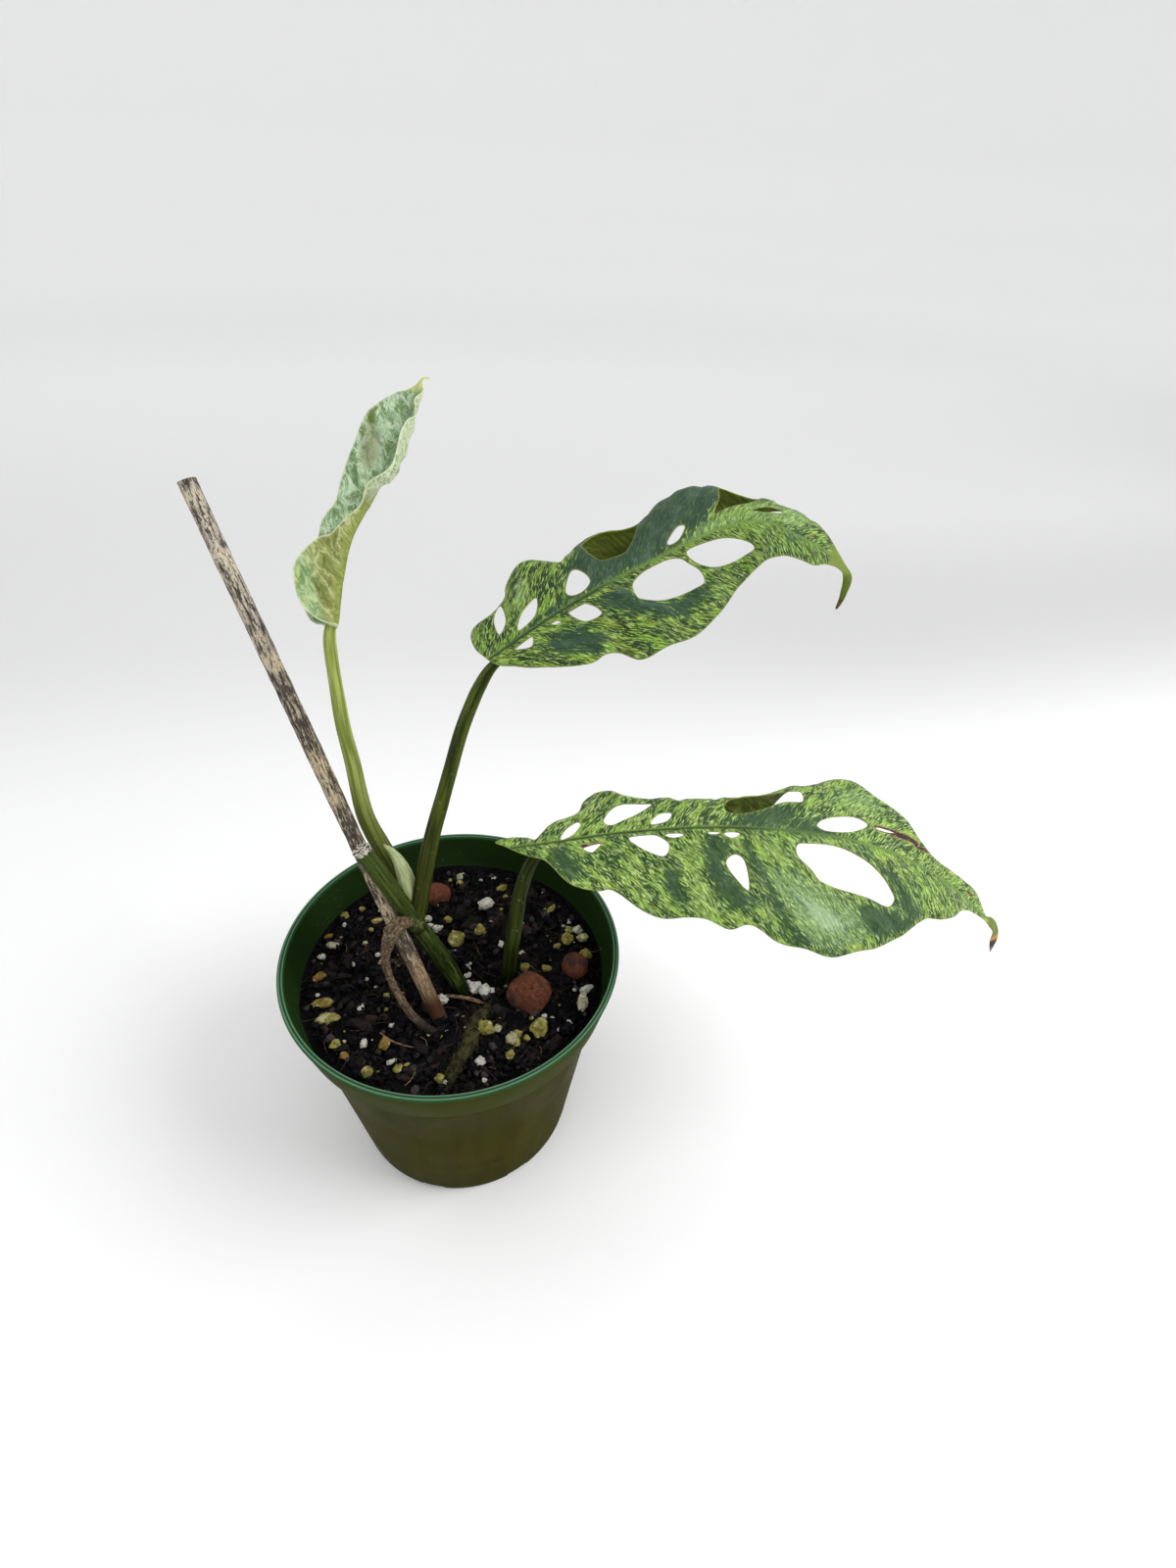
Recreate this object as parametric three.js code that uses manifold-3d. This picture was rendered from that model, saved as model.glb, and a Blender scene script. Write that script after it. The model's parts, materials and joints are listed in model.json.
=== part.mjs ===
// A young variegated monstera adansonii: a staked cutting with three leaves, in its nursery pot.
// Millimetres, +Z up. The origin is the middle of the pot's flat underside.

import * as THREE from 'three';
import { mergeVertices } from 'three/addons/utils/BufferGeometryUtils.js';
import Module from 'manifold-3d';

const wasm = await Module();
wasm.setup();

// Running gap between pieces that touch
const gap = 0.3;

// Pot: a thin injection-moulded nursery pot with a collar and drain slots round its foot
const potHeight = 85;
const rimRadius = 54;
const collarHeight = 14;
const collarFootRadius = 51;
const bodyTopRadius = 48;
const footRadius = 38.5;
const footRound = 2;
const potWall = 1.5;
const lipRound = 0.7;
const potSegments = 56;
const slotCount = 8;
const slotWidth = 8;
const slotRise = 2.4;
const slotReach = 7;

// Potting mix: its surface lies a finger's width below the rim, a little lower at the back
const mixTop = 73.5;
const mixBackFall = 0.03;
const mixSegments = 32;
const mixRings = 7;
const perliteCount = 36;
const perliteSmall = 1.1;
const perliteLarge = 2.3;

// Where the stem, stake, root and low stalk meet the mix, kept free of perlite: x, y and reach
const plantedAt = [[1.8, -9.5, 4], [-6.3, -18, 4], [-4.7, -25.3, 4], [-10, -23, 3], [17.3, -6.8, 4]];

// Clay pebbles lying in the mix: place on the surface and diameter
const pebbles = [
  { name: 'clay_pebble_1', x: 22.4, y: -16.6, size: 14 },
  { name: 'clay_pebble_2', x: 39.2, y: -8.1, size: 9.5 },
  { name: 'clay_pebble_3', x: -3.3, y: 33.3, size: 9 },
];

// Stem and what grows from its node
const stemLine = [[9, -12, 48], [1.8, -9.5, 73.5], [-10, -5.3, 103.5], [-22.2, -2.2, 132.6]];
const stemRadii = [2.4, 2.5, 2.5, 2.6, 2.9, 2.5, 2.5, 2.6, 2.4];
const rootLine = [
  [-11.5, -6.5, 106.5], [-16, -9.8, 106.8], [-19.6, -12.8, 99], [-18.8, -15, 89.5],
  [-14.9, -19.5, 80.5], [-10.5, -22.9, 75.8], [-4.7, -25.3, 73], [-3.5, -29, 65],
];
const rootRadii = [2.2, 2, 1.3, 1.15, 1.2, 1.3, 1.3, 1.1];
const sheathLine = [
  [-10.6, -3.4, 106], [-11, 0, 112.5], [-12.2, 2.2, 119.5], [-14.2, 3.2, 125], [-16.4, 3.4, 128.5],
];
const sheathRadii = [1.6, 1.9, 1.7, 1.1, 0.5];

// Stake: a straight peeled twig pushed into the mix
const stakeFoot = [6.4, -35, 33.8];
const stakeHead = [-52.9, 44.4, 219];
const stakeRadius = 2.35;

// Leaf stalks, each from the node or from the mix up to a few millimetres below its blade
const stalkLine1 = [
  [-10.4, -3, 104.5], [-11.4, 1.8, 109], [-14.2, 5.7, 115.5], [-17.9, 8.7, 124], [-21.1, 12, 133.6],
  [-22.2, 14.8, 149.6], [-23.1, 15.9, 162], [-23.3, 18.2, 173], [-22.9, 19.7, 182], [-22.5, 20.3, 189],
];
const stalkRadii1 = [3.1, 3, 2.8, 2.6, 2.4, 2.2, 2, 1.9, 1.7, 1.5];
const stalkLine2 = [
  [-10.2, -5, 104], [-8.4, -3, 109], [-3.2, 1.9, 128.4], [2.9, 3.5, 148.1], [7.8, 2.7, 165.4],
  [11.4, 0.9, 176.2], [13.6, -1.2, 182.4], [15.4, -2.6, 186.4], [17.4, -3, 188.5],
];
const stalkRadii2 = [2.6, 2.5, 2.3, 2.1, 1.9, 1.7, 1.4];
const stalkLine3 = [
  [16, -6.4, 50], [17.3, -6.8, 73.5], [17.8, -12.2, 95], [19.5, -9.9, 103], [21.5, -6.2, 111],
  [24.3, -3.2, 117.2], [27.3, -1, 120.9], [30, -0.3, 122.1],
];
const stalkRadii3 = [2.5, 2.5, 2.45, 2.4, 2.2, 1.9];

// Blades
const bladeThickness = 0.8;
const meshStep = 4.6;
const meshRows = 12;
const edgeStep = 2.6;
const ribReach = 1.6;
const ridgeStart = 2.5;
const ridgeFull = 9;
const lobeReach = 13;
const waveReach = 20;

// Each blade is laid out flat first: millimetres along the midrib, then across it, left positive.
// The base lobes reach back past the stalk by up to lobeReach. rib is the midrib in space.
// left and right say how each half leaves the midrib (rise, degrees), how it bends on its way out
// (bend, degrees a millimetre) and how much more past foldAt (fold). Values in these lists are
// evenly spaced from the stalk to the tip. wave is the edge's rise and fall, waveReach from the rib.
// Each window through a blade is a closed smooth line through its points.
const youngLeaf = {
  name: 'blade_1',
  ribHeight: 0.9,
  wave: { size: 0.35, pitch: 13 },
  rib: [
    [-22.5, 20.5, 189.5], [-18.5, 29, 197.5], [-15, 38, 206], [-10.5, 45, 212], [-5, 51.5, 218.5],
    [-0.5, 57.5, 224], [3.5, 64.5, 230], [7, 70.5, 236], [9.4, 71.8, 236.4],
  ],
  left: { rise: [5, 10, 15, 15, 15, 15, 10, 5], bend: [0.5], foldAt: [30], fold: [0] },
  right: {
    rise: [60, 60, 60, 38, -36, -20, 10, -12],
    bend: [38, 38, 38, 34, 17, 17, 16, 15],
    foldAt: [2.6],
    fold: [-37, -37, -37, -30, 0, 0, 0, 0],
  },
  outline: [
    [0, 1.4], [0.2, 4], [3, 6.4], [8, 7.6], [15, 7.6], [22, 7], [27, 7.8], [31, 7.4], [34, 7.8], [38, 9],
    [44, 10.1], [50, 10.7], [58, 11], [62, 10.6], [65, 9.2], [67.2, 7.8], [69.8, 5.4], [71.8, 2.4],
    [74, 0.8], [77.4, 0.5], [77.4, -0.5], [74, -0.9], [71, -3.2], [66, -6], [62, -5.2], [58, -8.4],
    [52, -9.5], [45, -9], [39.5, -7],
    [35, -3], [31.5, -2.4], [25.5, -4], [23, -5.2], [21.5, -7.8], [17, -11.3], [14, -12.6], [11, -12.6],
    [6, -10.7], [3.5, -9.2], [1.5, -6.5], [0, -2.7],
  ],
  windows: [],
};

const middleLeaf = {
  name: 'blade_2',
  ribHeight: 1,
  wave: { size: 0.6, pitch: 17 },
  rib: [
    [15.5, -3.5, 190], [34, 2.5, 198.5], [55.5, 7.5, 207], [83.5, 13.5, 214.5], [101, 10.5, 209.5],
    [110.4, 6.5, 203.5], [109.4, 3, 198.5], [107, 1.5, 193.5],
  ],
  left: {
    rise: [5, 16, 25, 27, 28, 28, 28, 27, 25, 18, 10, 8],
    bend: [-0.8],
    foldAt: [10, 10, 10, 11, 12.5, 9.5, 14.5, 11, 6, 6, 6, 6],
    fold: [0, 0, 0, -8, -12, -12, -12, -12, -8, 0, 0, 0],
  },
  right: {
    rise: [-5, -10, -15, -18, -20, -22, -25, -25, -25, -20, -15, -10],
    bend: [-1],
    foldAt: [30],
    fold: [0],
  },
  outline: [
    [-0.6, 2.4], [-0.8, 7], [0.6, 12], [3, 13.4], [8, 12.4], [13, 14], [15, 16.6], [20, 19], [25.5, 18.4],
    [28.5, 13.6], [31, 16], [34, 22], [38, 25.6], [43, 26.6], [48, 24.8], [52, 22.4], [56, 23.5], [61, 25],
    [66, 25], [70, 24.4], [75, 24], [79, 21.4], [83, 16.5], [86.5, 13.2], [92, 12.4], [95.5, 11.4],
    [98, 8.6], [101, 4.6], [104.5, 1.6], [110, 1], [115.5, 0.4], [115.5, -0.4], [110, -1], [105, -1.4],
    [102, -2.4], [98.5, -4.4], [95.5, -6.6], [91, -7], [87, -7.9], [83.8, -9.4], [75, -12.6], [65, -15.4],
    [62, -16.5], [56, -20], [52, -21.2], [45, -22.2], [39, -22.6], [34.4, -22.3], [30.2, -21],
    [27, -17.8], [24, -16.7], [19.6, -16.9], [14.5, -14.5], [7, -9.9], [3.4, -6.3], [0.6, -3],
  ],
  windows: [
    [[6.3, -2.2], [9, -1.7], [11.5, -1.8], [9.7, -4.2]],
    [[17.1, -1.3], [18.5, -1.4], [19.5, -2.9], [17.9, -2.5]],
    [[22.5, -1.5], [27.1, -1.7], [29.1, -6.4], [24.4, -6.2]],
    [
      [40, -3.3], [44.2, -1.6], [49.5, -1.3], [53.5, -2.7], [54.8, -5.2], [56.1, -8.4], [55.4, -11.5],
      [52.3, -12], [44.3, -11.1], [39.7, -8.7], [38.8, -6.6],
    ],
    [
      [55.8, -3], [57.2, -1.6], [62.7, -1.9], [68, -3], [73.5, -6.6], [72.8, -8.6], [66, -9.6],
      [59.8, -8.9], [56.6, -6],
    ],
    [[11, 12.8], [9.5, 7.4], [6, 4.8], [7.5, 10.2]],
    [[10.1, 2.2], [13.4, 6], [18.5, 7.3], [15.6, 3.1]],
    [[29.1, 8.6], [31.1, 7.4], [31.6, 3.4], [28.7, 1.7], [25.7, 2.2], [25.2, 4.3]],
    [[58.2, 5.7], [60, 5], [56.7, 2.3], [53.8, 1.9], [53.7, 3]],
    [
      [35.2, 13], [35.6, 9.8], [36.8, 6.9], [39.6, 6], [43, 5.8], [46.5, 8.2], [50, 11.5], [51.4, 13.4],
      [49.2, 15.4], [44.5, 16.4], [38.5, 16.2], [35.8, 15],
    ],
    [
      [66, 4.2], [68.8, 5], [73.3, 6], [76.6, 6.7], [79.2, 8.6], [80.8, 11.5], [80, 14], [77, 15.6],
      [73.8, 15.2], [72.4, 12.6], [70.6, 9], [68, 6.4],
    ],
    [[76.4, 3.3], [78.8, 4.9], [81.6, 6], [84, 5.9], [84.6, 4.8], [79.8, 2.9]],
  ],
};

const lowLeaf = {
  name: 'blade_3',
  ribHeight: 1.1,
  wave: { size: 0.35, pitch: 19 },
  rib: [
    [28, 0, 124.5], [56, -3.5, 128.5], [84, -8, 130], [113, -13.5, 127.5], [135.5, -18.5, 121],
    [153, -25, 112], [166, -32, 101.5], [169.8, -34.5, 97], [170.4, -36, 89.5],
  ],
  left: {
    rise: [5, 12, 18, 19, 20, 21, 22, 20.5, 19, 16.5, 14, 11, 10],
    bend: [-0.6],
    foldAt: [10, 10, 9, 7, 7.5, 10, 14.5, 18, 18, 18, 18, 18, 18],
    fold: [0, 0, 0, -9, -12, -12, -10, 0, 0, 0, 0, 0, 0],
  },
  right: {
    rise: [-5, -11, -15, -17, -18, -18, -18, -16.5, -15, -13, -12, -10, -10],
    bend: [-0.8],
    foldAt: [40],
    fold: [0],
  },
  outline: [
    [-0.8, 2.2], [1.2, 4.6], [5, 8], [12.5, 10], [15, 14.4], [18, 16.5], [21, 16.8], [24, 16], [28, 13.6],
    [35.5, 12.2], [39, 16], [44, 18.5], [50, 19.5], [56, 20], [62, 22.4], [68, 24.2], [74, 24],
    [79, 21], [83.5, 20.2], [89.5, 23.2], [95, 24.3], [102, 24], [107.5, 21.7], [112, 19.4],
    [116.4, 16.2], [121, 10.6], [125.5, 7.2], [131, 6], [138.6, 6.3], [144.9, 6.3], [148.5, 3.6],
    [151.5, 1.4], [157, 1.1], [162.5, 0.3], [162.5, -0.3], [157, -1.1], [151, -1.3], [146.4, -1.8],
    [142.7, -3.1], [139.7, -5.8], [137.3, -9.7], [132.7, -13.2], [126, -16.2], [120.3, -22.1],
    [116.8, -25.7], [110, -29.5], [102, -33.4], [94.7, -35.4], [87.4, -36.2], [81, -36.2], [70.7, -33.2],
    [62, -30], [55.8, -30.6], [49, -28], [42.4, -27.6], [35.8, -27], [31, -25.6], [26.3, -23.2],
    [20, -18], [15.7, -17.6], [9, -15.5], [5.6, -12], [1.9, -6.6], [-2.9, -4], [-6.3, -1.8],
    [-9.5, 0.8], [-13, 3.4], [-8.2, 4.4], [-3.2, 3.4],
  ],
  windows: [
    [[6.8, 0.8], [8.9, 4.5], [12.4, 6.4], [13.1, 4.7], [10.4, 1.7]],
    [
      [20.3, 5.1], [23.1, 8.9], [26.8, 10.3], [32.3, 9.8], [35.2, 9.3], [30.9, 6.4], [26.8, 4.7],
      [22.5, 3.2],
    ],
    [[34.1, 2.2], [36.9, 5.5], [40.7, 5.5], [38.9, 2.8]],
    [
      [57.2, 8.3], [57.6, 5.6], [62.6, 5.2], [68.5, 7.1], [75.2, 10.2], [81.2, 11.1], [81.5, 14.6],
      [79, 15.1], [69.9, 14.3], [61.5, 12.4],
    ],
    [[85.2, 3.3], [89.1, 6.5], [97.7, 9], [102.5, 7.6], [96.9, 3.4], [88.6, 1.8]],
    [[105.2, 7.2], [107, 8.2], [112, 8.3], [108.8, 7.2]],
    [[13.1, -3.7], [15.5, -3], [18.5, -2.8], [16.8, -4.6], [15.3, -5.4]],
    [[27.2, -1.9], [34, -1.5], [37.8, -3.7], [38.7, -5.8], [37.2, -8.6], [34.4, -8.1], [29.6, -5.1]],
    [[37.9, -2], [40.8, -1.4], [43.6, -2.2], [40.5, -3]],
    [[50.7, -1.7], [52.6, -1.3], [54.6, -1.7], [52.5, -2.3]],
    [[55.7, -2.1], [58.2, -1.3], [60.5, -2], [58, -3.4]],
    [[58.3, -8.8], [61.1, -11.1], [61.7, -19.6], [57.7, -15.7], [55.4, -11.3]],
    [
      [78.2, -4.3], [82.3, -3.5], [88.3, -3.1], [93.6, -3.6], [101, -6], [107.1, -9.8], [110.3, -13],
      [111.7, -15.3], [109.5, -18], [103.1, -18], [94, -17], [85.3, -15.3], [81.6, -11.8], [77.8, -7.9],
    ],
  ],
};

const radians = THREE.MathUtils.degToRad;

// Smooth value at a share of the way along a list of evenly spaced values
function along(values, share) {
  const last = values.length - 1;
  if (last === 0) return values[0];
  const place = THREE.MathUtils.clamp(share, 0, 1) * last;
  const i = Math.min(Math.floor(place), last - 1);
  const t = place - i;
  const b = values[i];
  const c = values[i + 1];
  const a = values[i - 1] ?? 2 * b - c;
  const d = values[i + 2] ?? 2 * c - b;
  return b + 0.5 * t * (c - a + t * (2 * a - 5 * b + 4 * c - d + t * (3 * (b - c) + d - a)));
}

function smoothLine(points, closed = false) {
  const line = new THREE.CatmullRomCurve3(points.map((p) => new THREE.Vector3(...p)), closed, 'catmullrom');
  line.arcLengthDivisions = 600;
  return line;
}

// Closed geometry to a solid that can be cut and joined, and back
function toSolid(geometry) {
  const bare = new THREE.BufferGeometry();
  bare.setAttribute('position', geometry.getAttribute('position'));
  bare.setIndex(geometry.getIndex());
  const merged = mergeVertices(bare, 1e-4);
  const index = merged.getIndex().array;
  const faces = [];
  for (let i = 0; i < index.length; i += 3) {
    const [a, b, c] = index.slice(i, i + 3);
    if (a !== b && b !== c && c !== a) faces.push(a, b, c);
  }
  const vertProperties = new Float32Array(merged.getAttribute('position').array);
  return new wasm.Manifold(new wasm.Mesh({ numProp: 3, vertProperties, triVerts: new Uint32Array(faces) }));
}

function toGeometry(solid) {
  const mesh = solid.getMesh();
  const geometry = new THREE.BufferGeometry();
  geometry.setAttribute('position', new THREE.BufferAttribute(new Float32Array(mesh.vertProperties), 3));
  geometry.setIndex(new THREE.BufferAttribute(new Uint32Array(mesh.triVerts), 1));
  geometry.computeVertexNormals();
  return geometry;
}

// The largest body of a solid, without the loose scraps that a cut leaves
function largest(solid) {
  return solid.decompose().reduce((best, body) => (body.volume() > best.volume() ? body : best));
}

// A round stalk: a cylinder bent along a smooth line. swell makes it thicker and longer, to cut with.
function stalk(points, radii, { sides = 10, steps = 20, swell = 0 } = {}) {
  const line = smoothLine(points);
  const frames = line.computeFrenetFrames(steps, false);
  const cylinder = new THREE.CylinderGeometry(1, 1, 1, sides, steps);
  const place = cylinder.getAttribute('position');
  for (let i = 0; i < place.count; i += 1) {
    const step = Math.round((place.getY(i) + 0.5) * steps);
    const radius = along(radii, step / steps) + swell;
    const atEnd = (step === steps) - (step === 0);
    const point = line.getPointAt(step / steps);
    point.addScaledVector(frames.tangents[step], atEnd * swell);
    point.addScaledVector(frames.normals[step], place.getX(i) * radius);
    point.addScaledVector(frames.binormals[step], -place.getZ(i) * radius);
    place.setXYZ(i, point.x, point.y, point.z);
  }
  return toSolid(cylinder);
}

// Section through half a blade: how far out and how high the sheet is after a reach along it
function section(half, share, reach) {
  const foldAt = along(half.foldAt, share);
  const bend = radians(along(half.bend, share));
  const lengths = [Math.min(reach, foldAt), Math.max(reach - foldAt, 0)];
  const bends = [bend, bend + radians(along(half.fold, share))];
  let angle = radians(along(half.rise, share));
  let out = 0;
  let up = 0;
  lengths.forEach((length, i) => {
    const turn = Math.abs(bends[i]) < 1e-5 ? 1e-5 : bends[i];
    const next = angle + turn * length;
    out += (Math.sin(next) - Math.sin(angle)) / turn;
    up -= (Math.cos(next) - Math.cos(angle)) / turn;
    angle = next;
  });
  return { out, up };
}

// Point in space of a flat point of a leaf
function bladePoint(leaf, u, v) {
  const length = leaf.line.getLength();
  const share = THREE.MathUtils.clamp(u / length, 0, 1);
  const point = leaf.line.getPointAt(share);
  const forward = leaf.line.getTangentAt(share);
  const side = new THREE.Vector3(0, 0, 1).cross(forward).normalize();
  const up = forward.clone().cross(side);
  const half = v < 0 ? leaf.right : leaf.left;
  const sheet = section(half, share, Math.abs(v));
  const wave = leaf.wave.size * (v / waveReach) ** 2 * Math.sin((2 * Math.PI * u) / leaf.wave.pitch);
  point.addScaledVector(forward, u - share * length);
  point.addScaledVector(side, Math.sign(v) * sheet.out);
  return point.addScaledVector(up, sheet.up + wave);
}

function bladeNormal(leaf, u, v) {
  const d = 0.4;
  const alongRib = bladePoint(leaf, u + d, v).sub(bladePoint(leaf, u - d, v));
  const acrossRib = bladePoint(leaf, u, v + d).sub(bladePoint(leaf, u, v - d));
  return alongRib.cross(acrossRib).normalize();
}

// Circle through three of the points, with the face's corners in anticlockwise order
function faceThrough(points, a, b, c) {
  const [ax, ay] = points[a];
  const [bx, by] = [points[b][0] - ax, points[b][1] - ay];
  const [cx, cy] = [points[c][0] - ax, points[c][1] - ay];
  const twice = 2 * (bx * cy - by * cx);
  const x = (cy * (bx * bx + by * by) - by * (cx * cx + cy * cy)) / twice;
  const y = (bx * (cx * cx + cy * cy) - cx * (bx * bx + by * by)) / twice;
  return { corners: twice > 0 ? [a, b, c] : [a, c, b], x: ax + x, y: ay + y, reach: Math.hypot(x, y) };
}

const edgesOf = ([a, b, c]) => [[a, b], [b, c], [c, a]];

// The directed edges that only one of the faces has
function openEdges(faces) {
  const open = new Map();
  for (const [a, b] of faces.flatMap(edgesOf)) {
    if (!open.delete(`${b} ${a}`)) open.set(`${a} ${b}`, [a, b]);
  }
  return [...open.values()];
}

// Delaunay triangles: each point in turn opens the faces whose circle holds it and closes the gap
function triangulate(points) {
  const far = 1e5;
  const all = [...points, [-far, -far], [far, -far], [0, far]];
  const n = points.length;
  let faces = [faceThrough(all, n, n + 1, n + 2)];
  points.forEach(([x, y], i) => {
    const hit = faces.filter((face) => Math.hypot(x - face.x, y - face.y) < face.reach);
    const hole = openEdges(hit.map((face) => face.corners));
    faces = faces.filter((face) => !hit.includes(face));
    for (const [a, b] of hole) faces.push(faceThrough(all, a, b, i));
  });
  return faces.map((face) => face.corners).filter((corners) => Math.max(...corners) < n);
}

function isInside(loop, [x, y]) {
  let inside = false;
  loop.forEach(([ax, ay], i) => {
    const [bx, by] = loop[(i + 1) % loop.length];
    if (ay > y !== by > y && x < ax + ((y - ay) / (by - ay)) * (bx - ax)) inside = !inside;
  });
  return inside;
}

function spacedLoop(line) {
  const count = Math.max(8, Math.round(line.getLength() / edgeStep));
  return line.getSpacedPoints(count).slice(0, count).map((p) => [p.x, p.y]);
}

// A blade's flat points and faces: its edge, its windows, a row each side of the rib and a mesh between
function flatBlade(leaf) {
  const flatLoop = (points) => spacedLoop(smoothLine(points.map(([u, v]) => [u, v, 0]), true));
  const edge = flatLoop(leaf.outline);
  const windows = leaf.windows.map(flatLoop);
  const rim = [edge, ...windows].flat();
  const isLeaf = (p) => isInside(edge, p) && !windows.some((window) => isInside(window, p));
  const clearance = 0.62 * edgeStep;
  const clearOfRim = ([u, v]) => rim.every(([x, y]) => Math.hypot(x - u, y - v) > clearance);
  const inner = [];
  const rowStep = meshStep * Math.sin(Math.PI / 3);
  const farEnd = leaf.line.getLength();
  for (let u = -lobeReach; u < farEnd; u += meshStep) {
    for (const v of [-ribReach, 0, ribReach]) inner.push([u, v]);
    for (let row = 1; row < meshRows; row += 1) {
      const shift = (row % 2) * meshStep * 0.5;
      const v = ribReach + row * rowStep;
      inner.push([u + shift, v], [u + shift, -v]);
    }
  }
  const points = [...rim, ...inner.filter((p) => isLeaf(p) && clearOfRim(p))];
  const middle = (corners, axis) => corners.reduce((sum, i) => sum + points[i][axis] / 3, 0);
  const faces = triangulate(points).filter((f) => isLeaf([middle(f, 0), middle(f, 1)]));
  return { points, faces };
}

// Ridge of the midrib below the blade: it swells from the stalk's end and thins towards the tip
function ridge(leaf, u, v) {
  const share = u / leaf.line.getLength();
  const lengthwise = THREE.MathUtils.smoothstep(u, ridgeStart, ridgeFull) * Math.max(0, 1 - share);
  return leaf.ribHeight * lengthwise * Math.max(0, 1 - (v / ribReach) ** 2);
}

function blade(leaf) {
  const { points, faces } = flatBlade(leaf);
  const n = points.length;
  const position = [];
  for (const face of [1, -1]) {
    for (const [u, v] of points) {
      const depth = face * bladeThickness / 2 - (face < 0 ? ridge(leaf, u, v) : 0);
      position.push(...bladePoint(leaf, u, v).addScaledVector(bladeNormal(leaf, u, v), depth));
    }
  }
  const index = faces.flatMap(([a, b, c]) => [a, b, c, a + n, c + n, b + n]);
  for (const [a, b] of openEdges(faces)) index.push(b, a, a + n, b, a + n, b + n);
  const geometry = new THREE.BufferGeometry();
  geometry.setAttribute('position', new THREE.Float32BufferAttribute(position, 3));
  geometry.setIndex(index);
  return toSolid(geometry);
}

function buildPot() {
  const collarZ = potHeight - collarHeight;
  const innerFoot = footRadius - potWall;
  const outside = [
    [0, 0], [footRadius - footRound, 0], [footRadius, footRound], [bodyTopRadius, collarZ],
    [collarFootRadius - 0.6, collarZ], [collarFootRadius, collarZ + 0.6], [rimRadius, potHeight - lipRound],
    [rimRadius - lipRound, potHeight],
  ];
  const inside = [
    [rimRadius - potWall - 0.4, potHeight], [rimRadius - potWall - 0.6, potHeight - lipRound],
    [collarFootRadius - potWall, collarZ + 2.2], [bodyTopRadius - potWall, collarZ],
    [innerFoot, potWall + footRound], [innerFoot - footRound, potWall], [0, potWall],
  ];
  const profile = [...outside, ...inside].map(([r, z]) => new THREE.Vector2(r, z));
  const shell = new THREE.LatheGeometry(profile, potSegments).rotateX(Math.PI / 2);
  let pot = toSolid(shell);
  for (let i = 0; i < slotCount; i += 1) {
    const slot = new THREE.BoxGeometry(slotReach, slotWidth, 2 * slotRise);
    slot.translate(footRadius + 1 - slotReach / 2, 0, 0).rotateZ((2 * Math.PI * (i + 0.5)) / slotCount);
    pot = pot.subtract(toSolid(slot));
  }
  return pot;
}

function mixHeight(x, y) {
  const lumps = 0.7 * Math.sin(0.31 * x + 1) * Math.cos(0.27 * y) + 0.5 * Math.sin(0.14 * x - 0.21 * y + 2);
  return mixTop - mixBackFall * y + lumps;
}

// Evenly spread pseudo-random numbers from a fixed start
function seeded(seed) {
  let state = seed;
  return () => {
    state = (state * 1664525 + 1013904223) % 4294967296;
    return state / 4294967296;
  };
}

function pebble(size, seed, swell = 0) {
  const shape = new THREE.IcosahedronGeometry(size / 2 + swell, size > 10 ? 2 : 1);
  const place = shape.getAttribute('position');
  for (let i = 0; i < place.count; i += 1) {
    const [x, y, z] = [place.getX(i), place.getY(i), place.getZ(i)];
    const lump = 1 + 0.05 * Math.sin(0.7 * x + seed) + 0.05 * Math.cos(0.6 * y - 0.5 * z + 2 * seed);
    place.setXYZ(i, x * lump, y * lump * 0.94, z * lump * 0.86);
  }
  return shape;
}

function pebbleSolid({ x, y, size }, index, swell = 0) {
  const sunk = 0.2 * size;
  return toSolid(pebble(size, index + 1, swell).translate(x, y, mixHeight(x, y) + sunk));
}

// The mix fills the pot up to its lumpy surface, with perlite standing out of it
function buildMix(tools, keepClear) {
  const collarZ = potHeight - collarHeight;
  const slope = (bodyTopRadius - footRadius) / collarZ;
  const clearOfWall = potWall + 2 * gap;
  const floor = potWall + gap;
  const footEdge = footRadius + slope * floor - clearOfWall;
  const topEdge = bodyTopRadius - clearOfWall;
  const profile = [[0, floor], [footEdge - footRound, floor], [footEdge, floor + footRound]];
  profile.push([topEdge, collarZ]);
  for (let i = 0; i <= mixRings; i += 1) profile.push([topEdge * (1 - i / mixRings), mixTop]);
  const body = new THREE.LatheGeometry(profile.map(([r, z]) => new THREE.Vector2(r, z)), mixSegments);
  body.rotateX(Math.PI / 2);
  const place = body.getAttribute('position');
  for (let i = 0; i < place.count; i += 1) {
    if (place.getZ(i) > mixTop - 0.1) place.setZ(i, mixHeight(place.getX(i), place.getY(i)));
  }
  let mix = toSolid(body);
  const random = seeded(7);
  for (let made = 0; made < perliteCount;) {
    const radius = perliteSmall + (perliteLarge - perliteSmall) * random() ** 2;
    const out = (topEdge - 2 * radius) * Math.sqrt(random());
    const turn = 2 * Math.PI * random();
    const [x, y] = [out * Math.cos(turn), out * Math.sin(turn)];
    const lean = 3 * random();
    if (keepClear.every(([cx, cy, reach]) => Math.hypot(x - cx, y - cy) > reach + radius)) {
      const lump = new THREE.IcosahedronGeometry(radius, 0).rotateX(lean).rotateY(2 * lean);
      mix = mix.add(toSolid(lump.scale(1, 1, 0.8).translate(x, y, mixHeight(x, y) + 0.2 * radius)));
      made += 1;
    }
  }
  return largest(tools.reduce((rest, tool) => rest.subtract(tool), mix));
}

const leaves = [youngLeaf, middleLeaf, lowLeaf];
for (const leaf of leaves) leaf.line = smoothLine(leaf.rib);

const stakeLine = [stakeFoot, stakeHead];
const stakeRadii = [0.96, 1.02, 0.98, 1.04, 0.97, 1.02, 0.99, 1].map((f) => f * stakeRadius);

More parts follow.
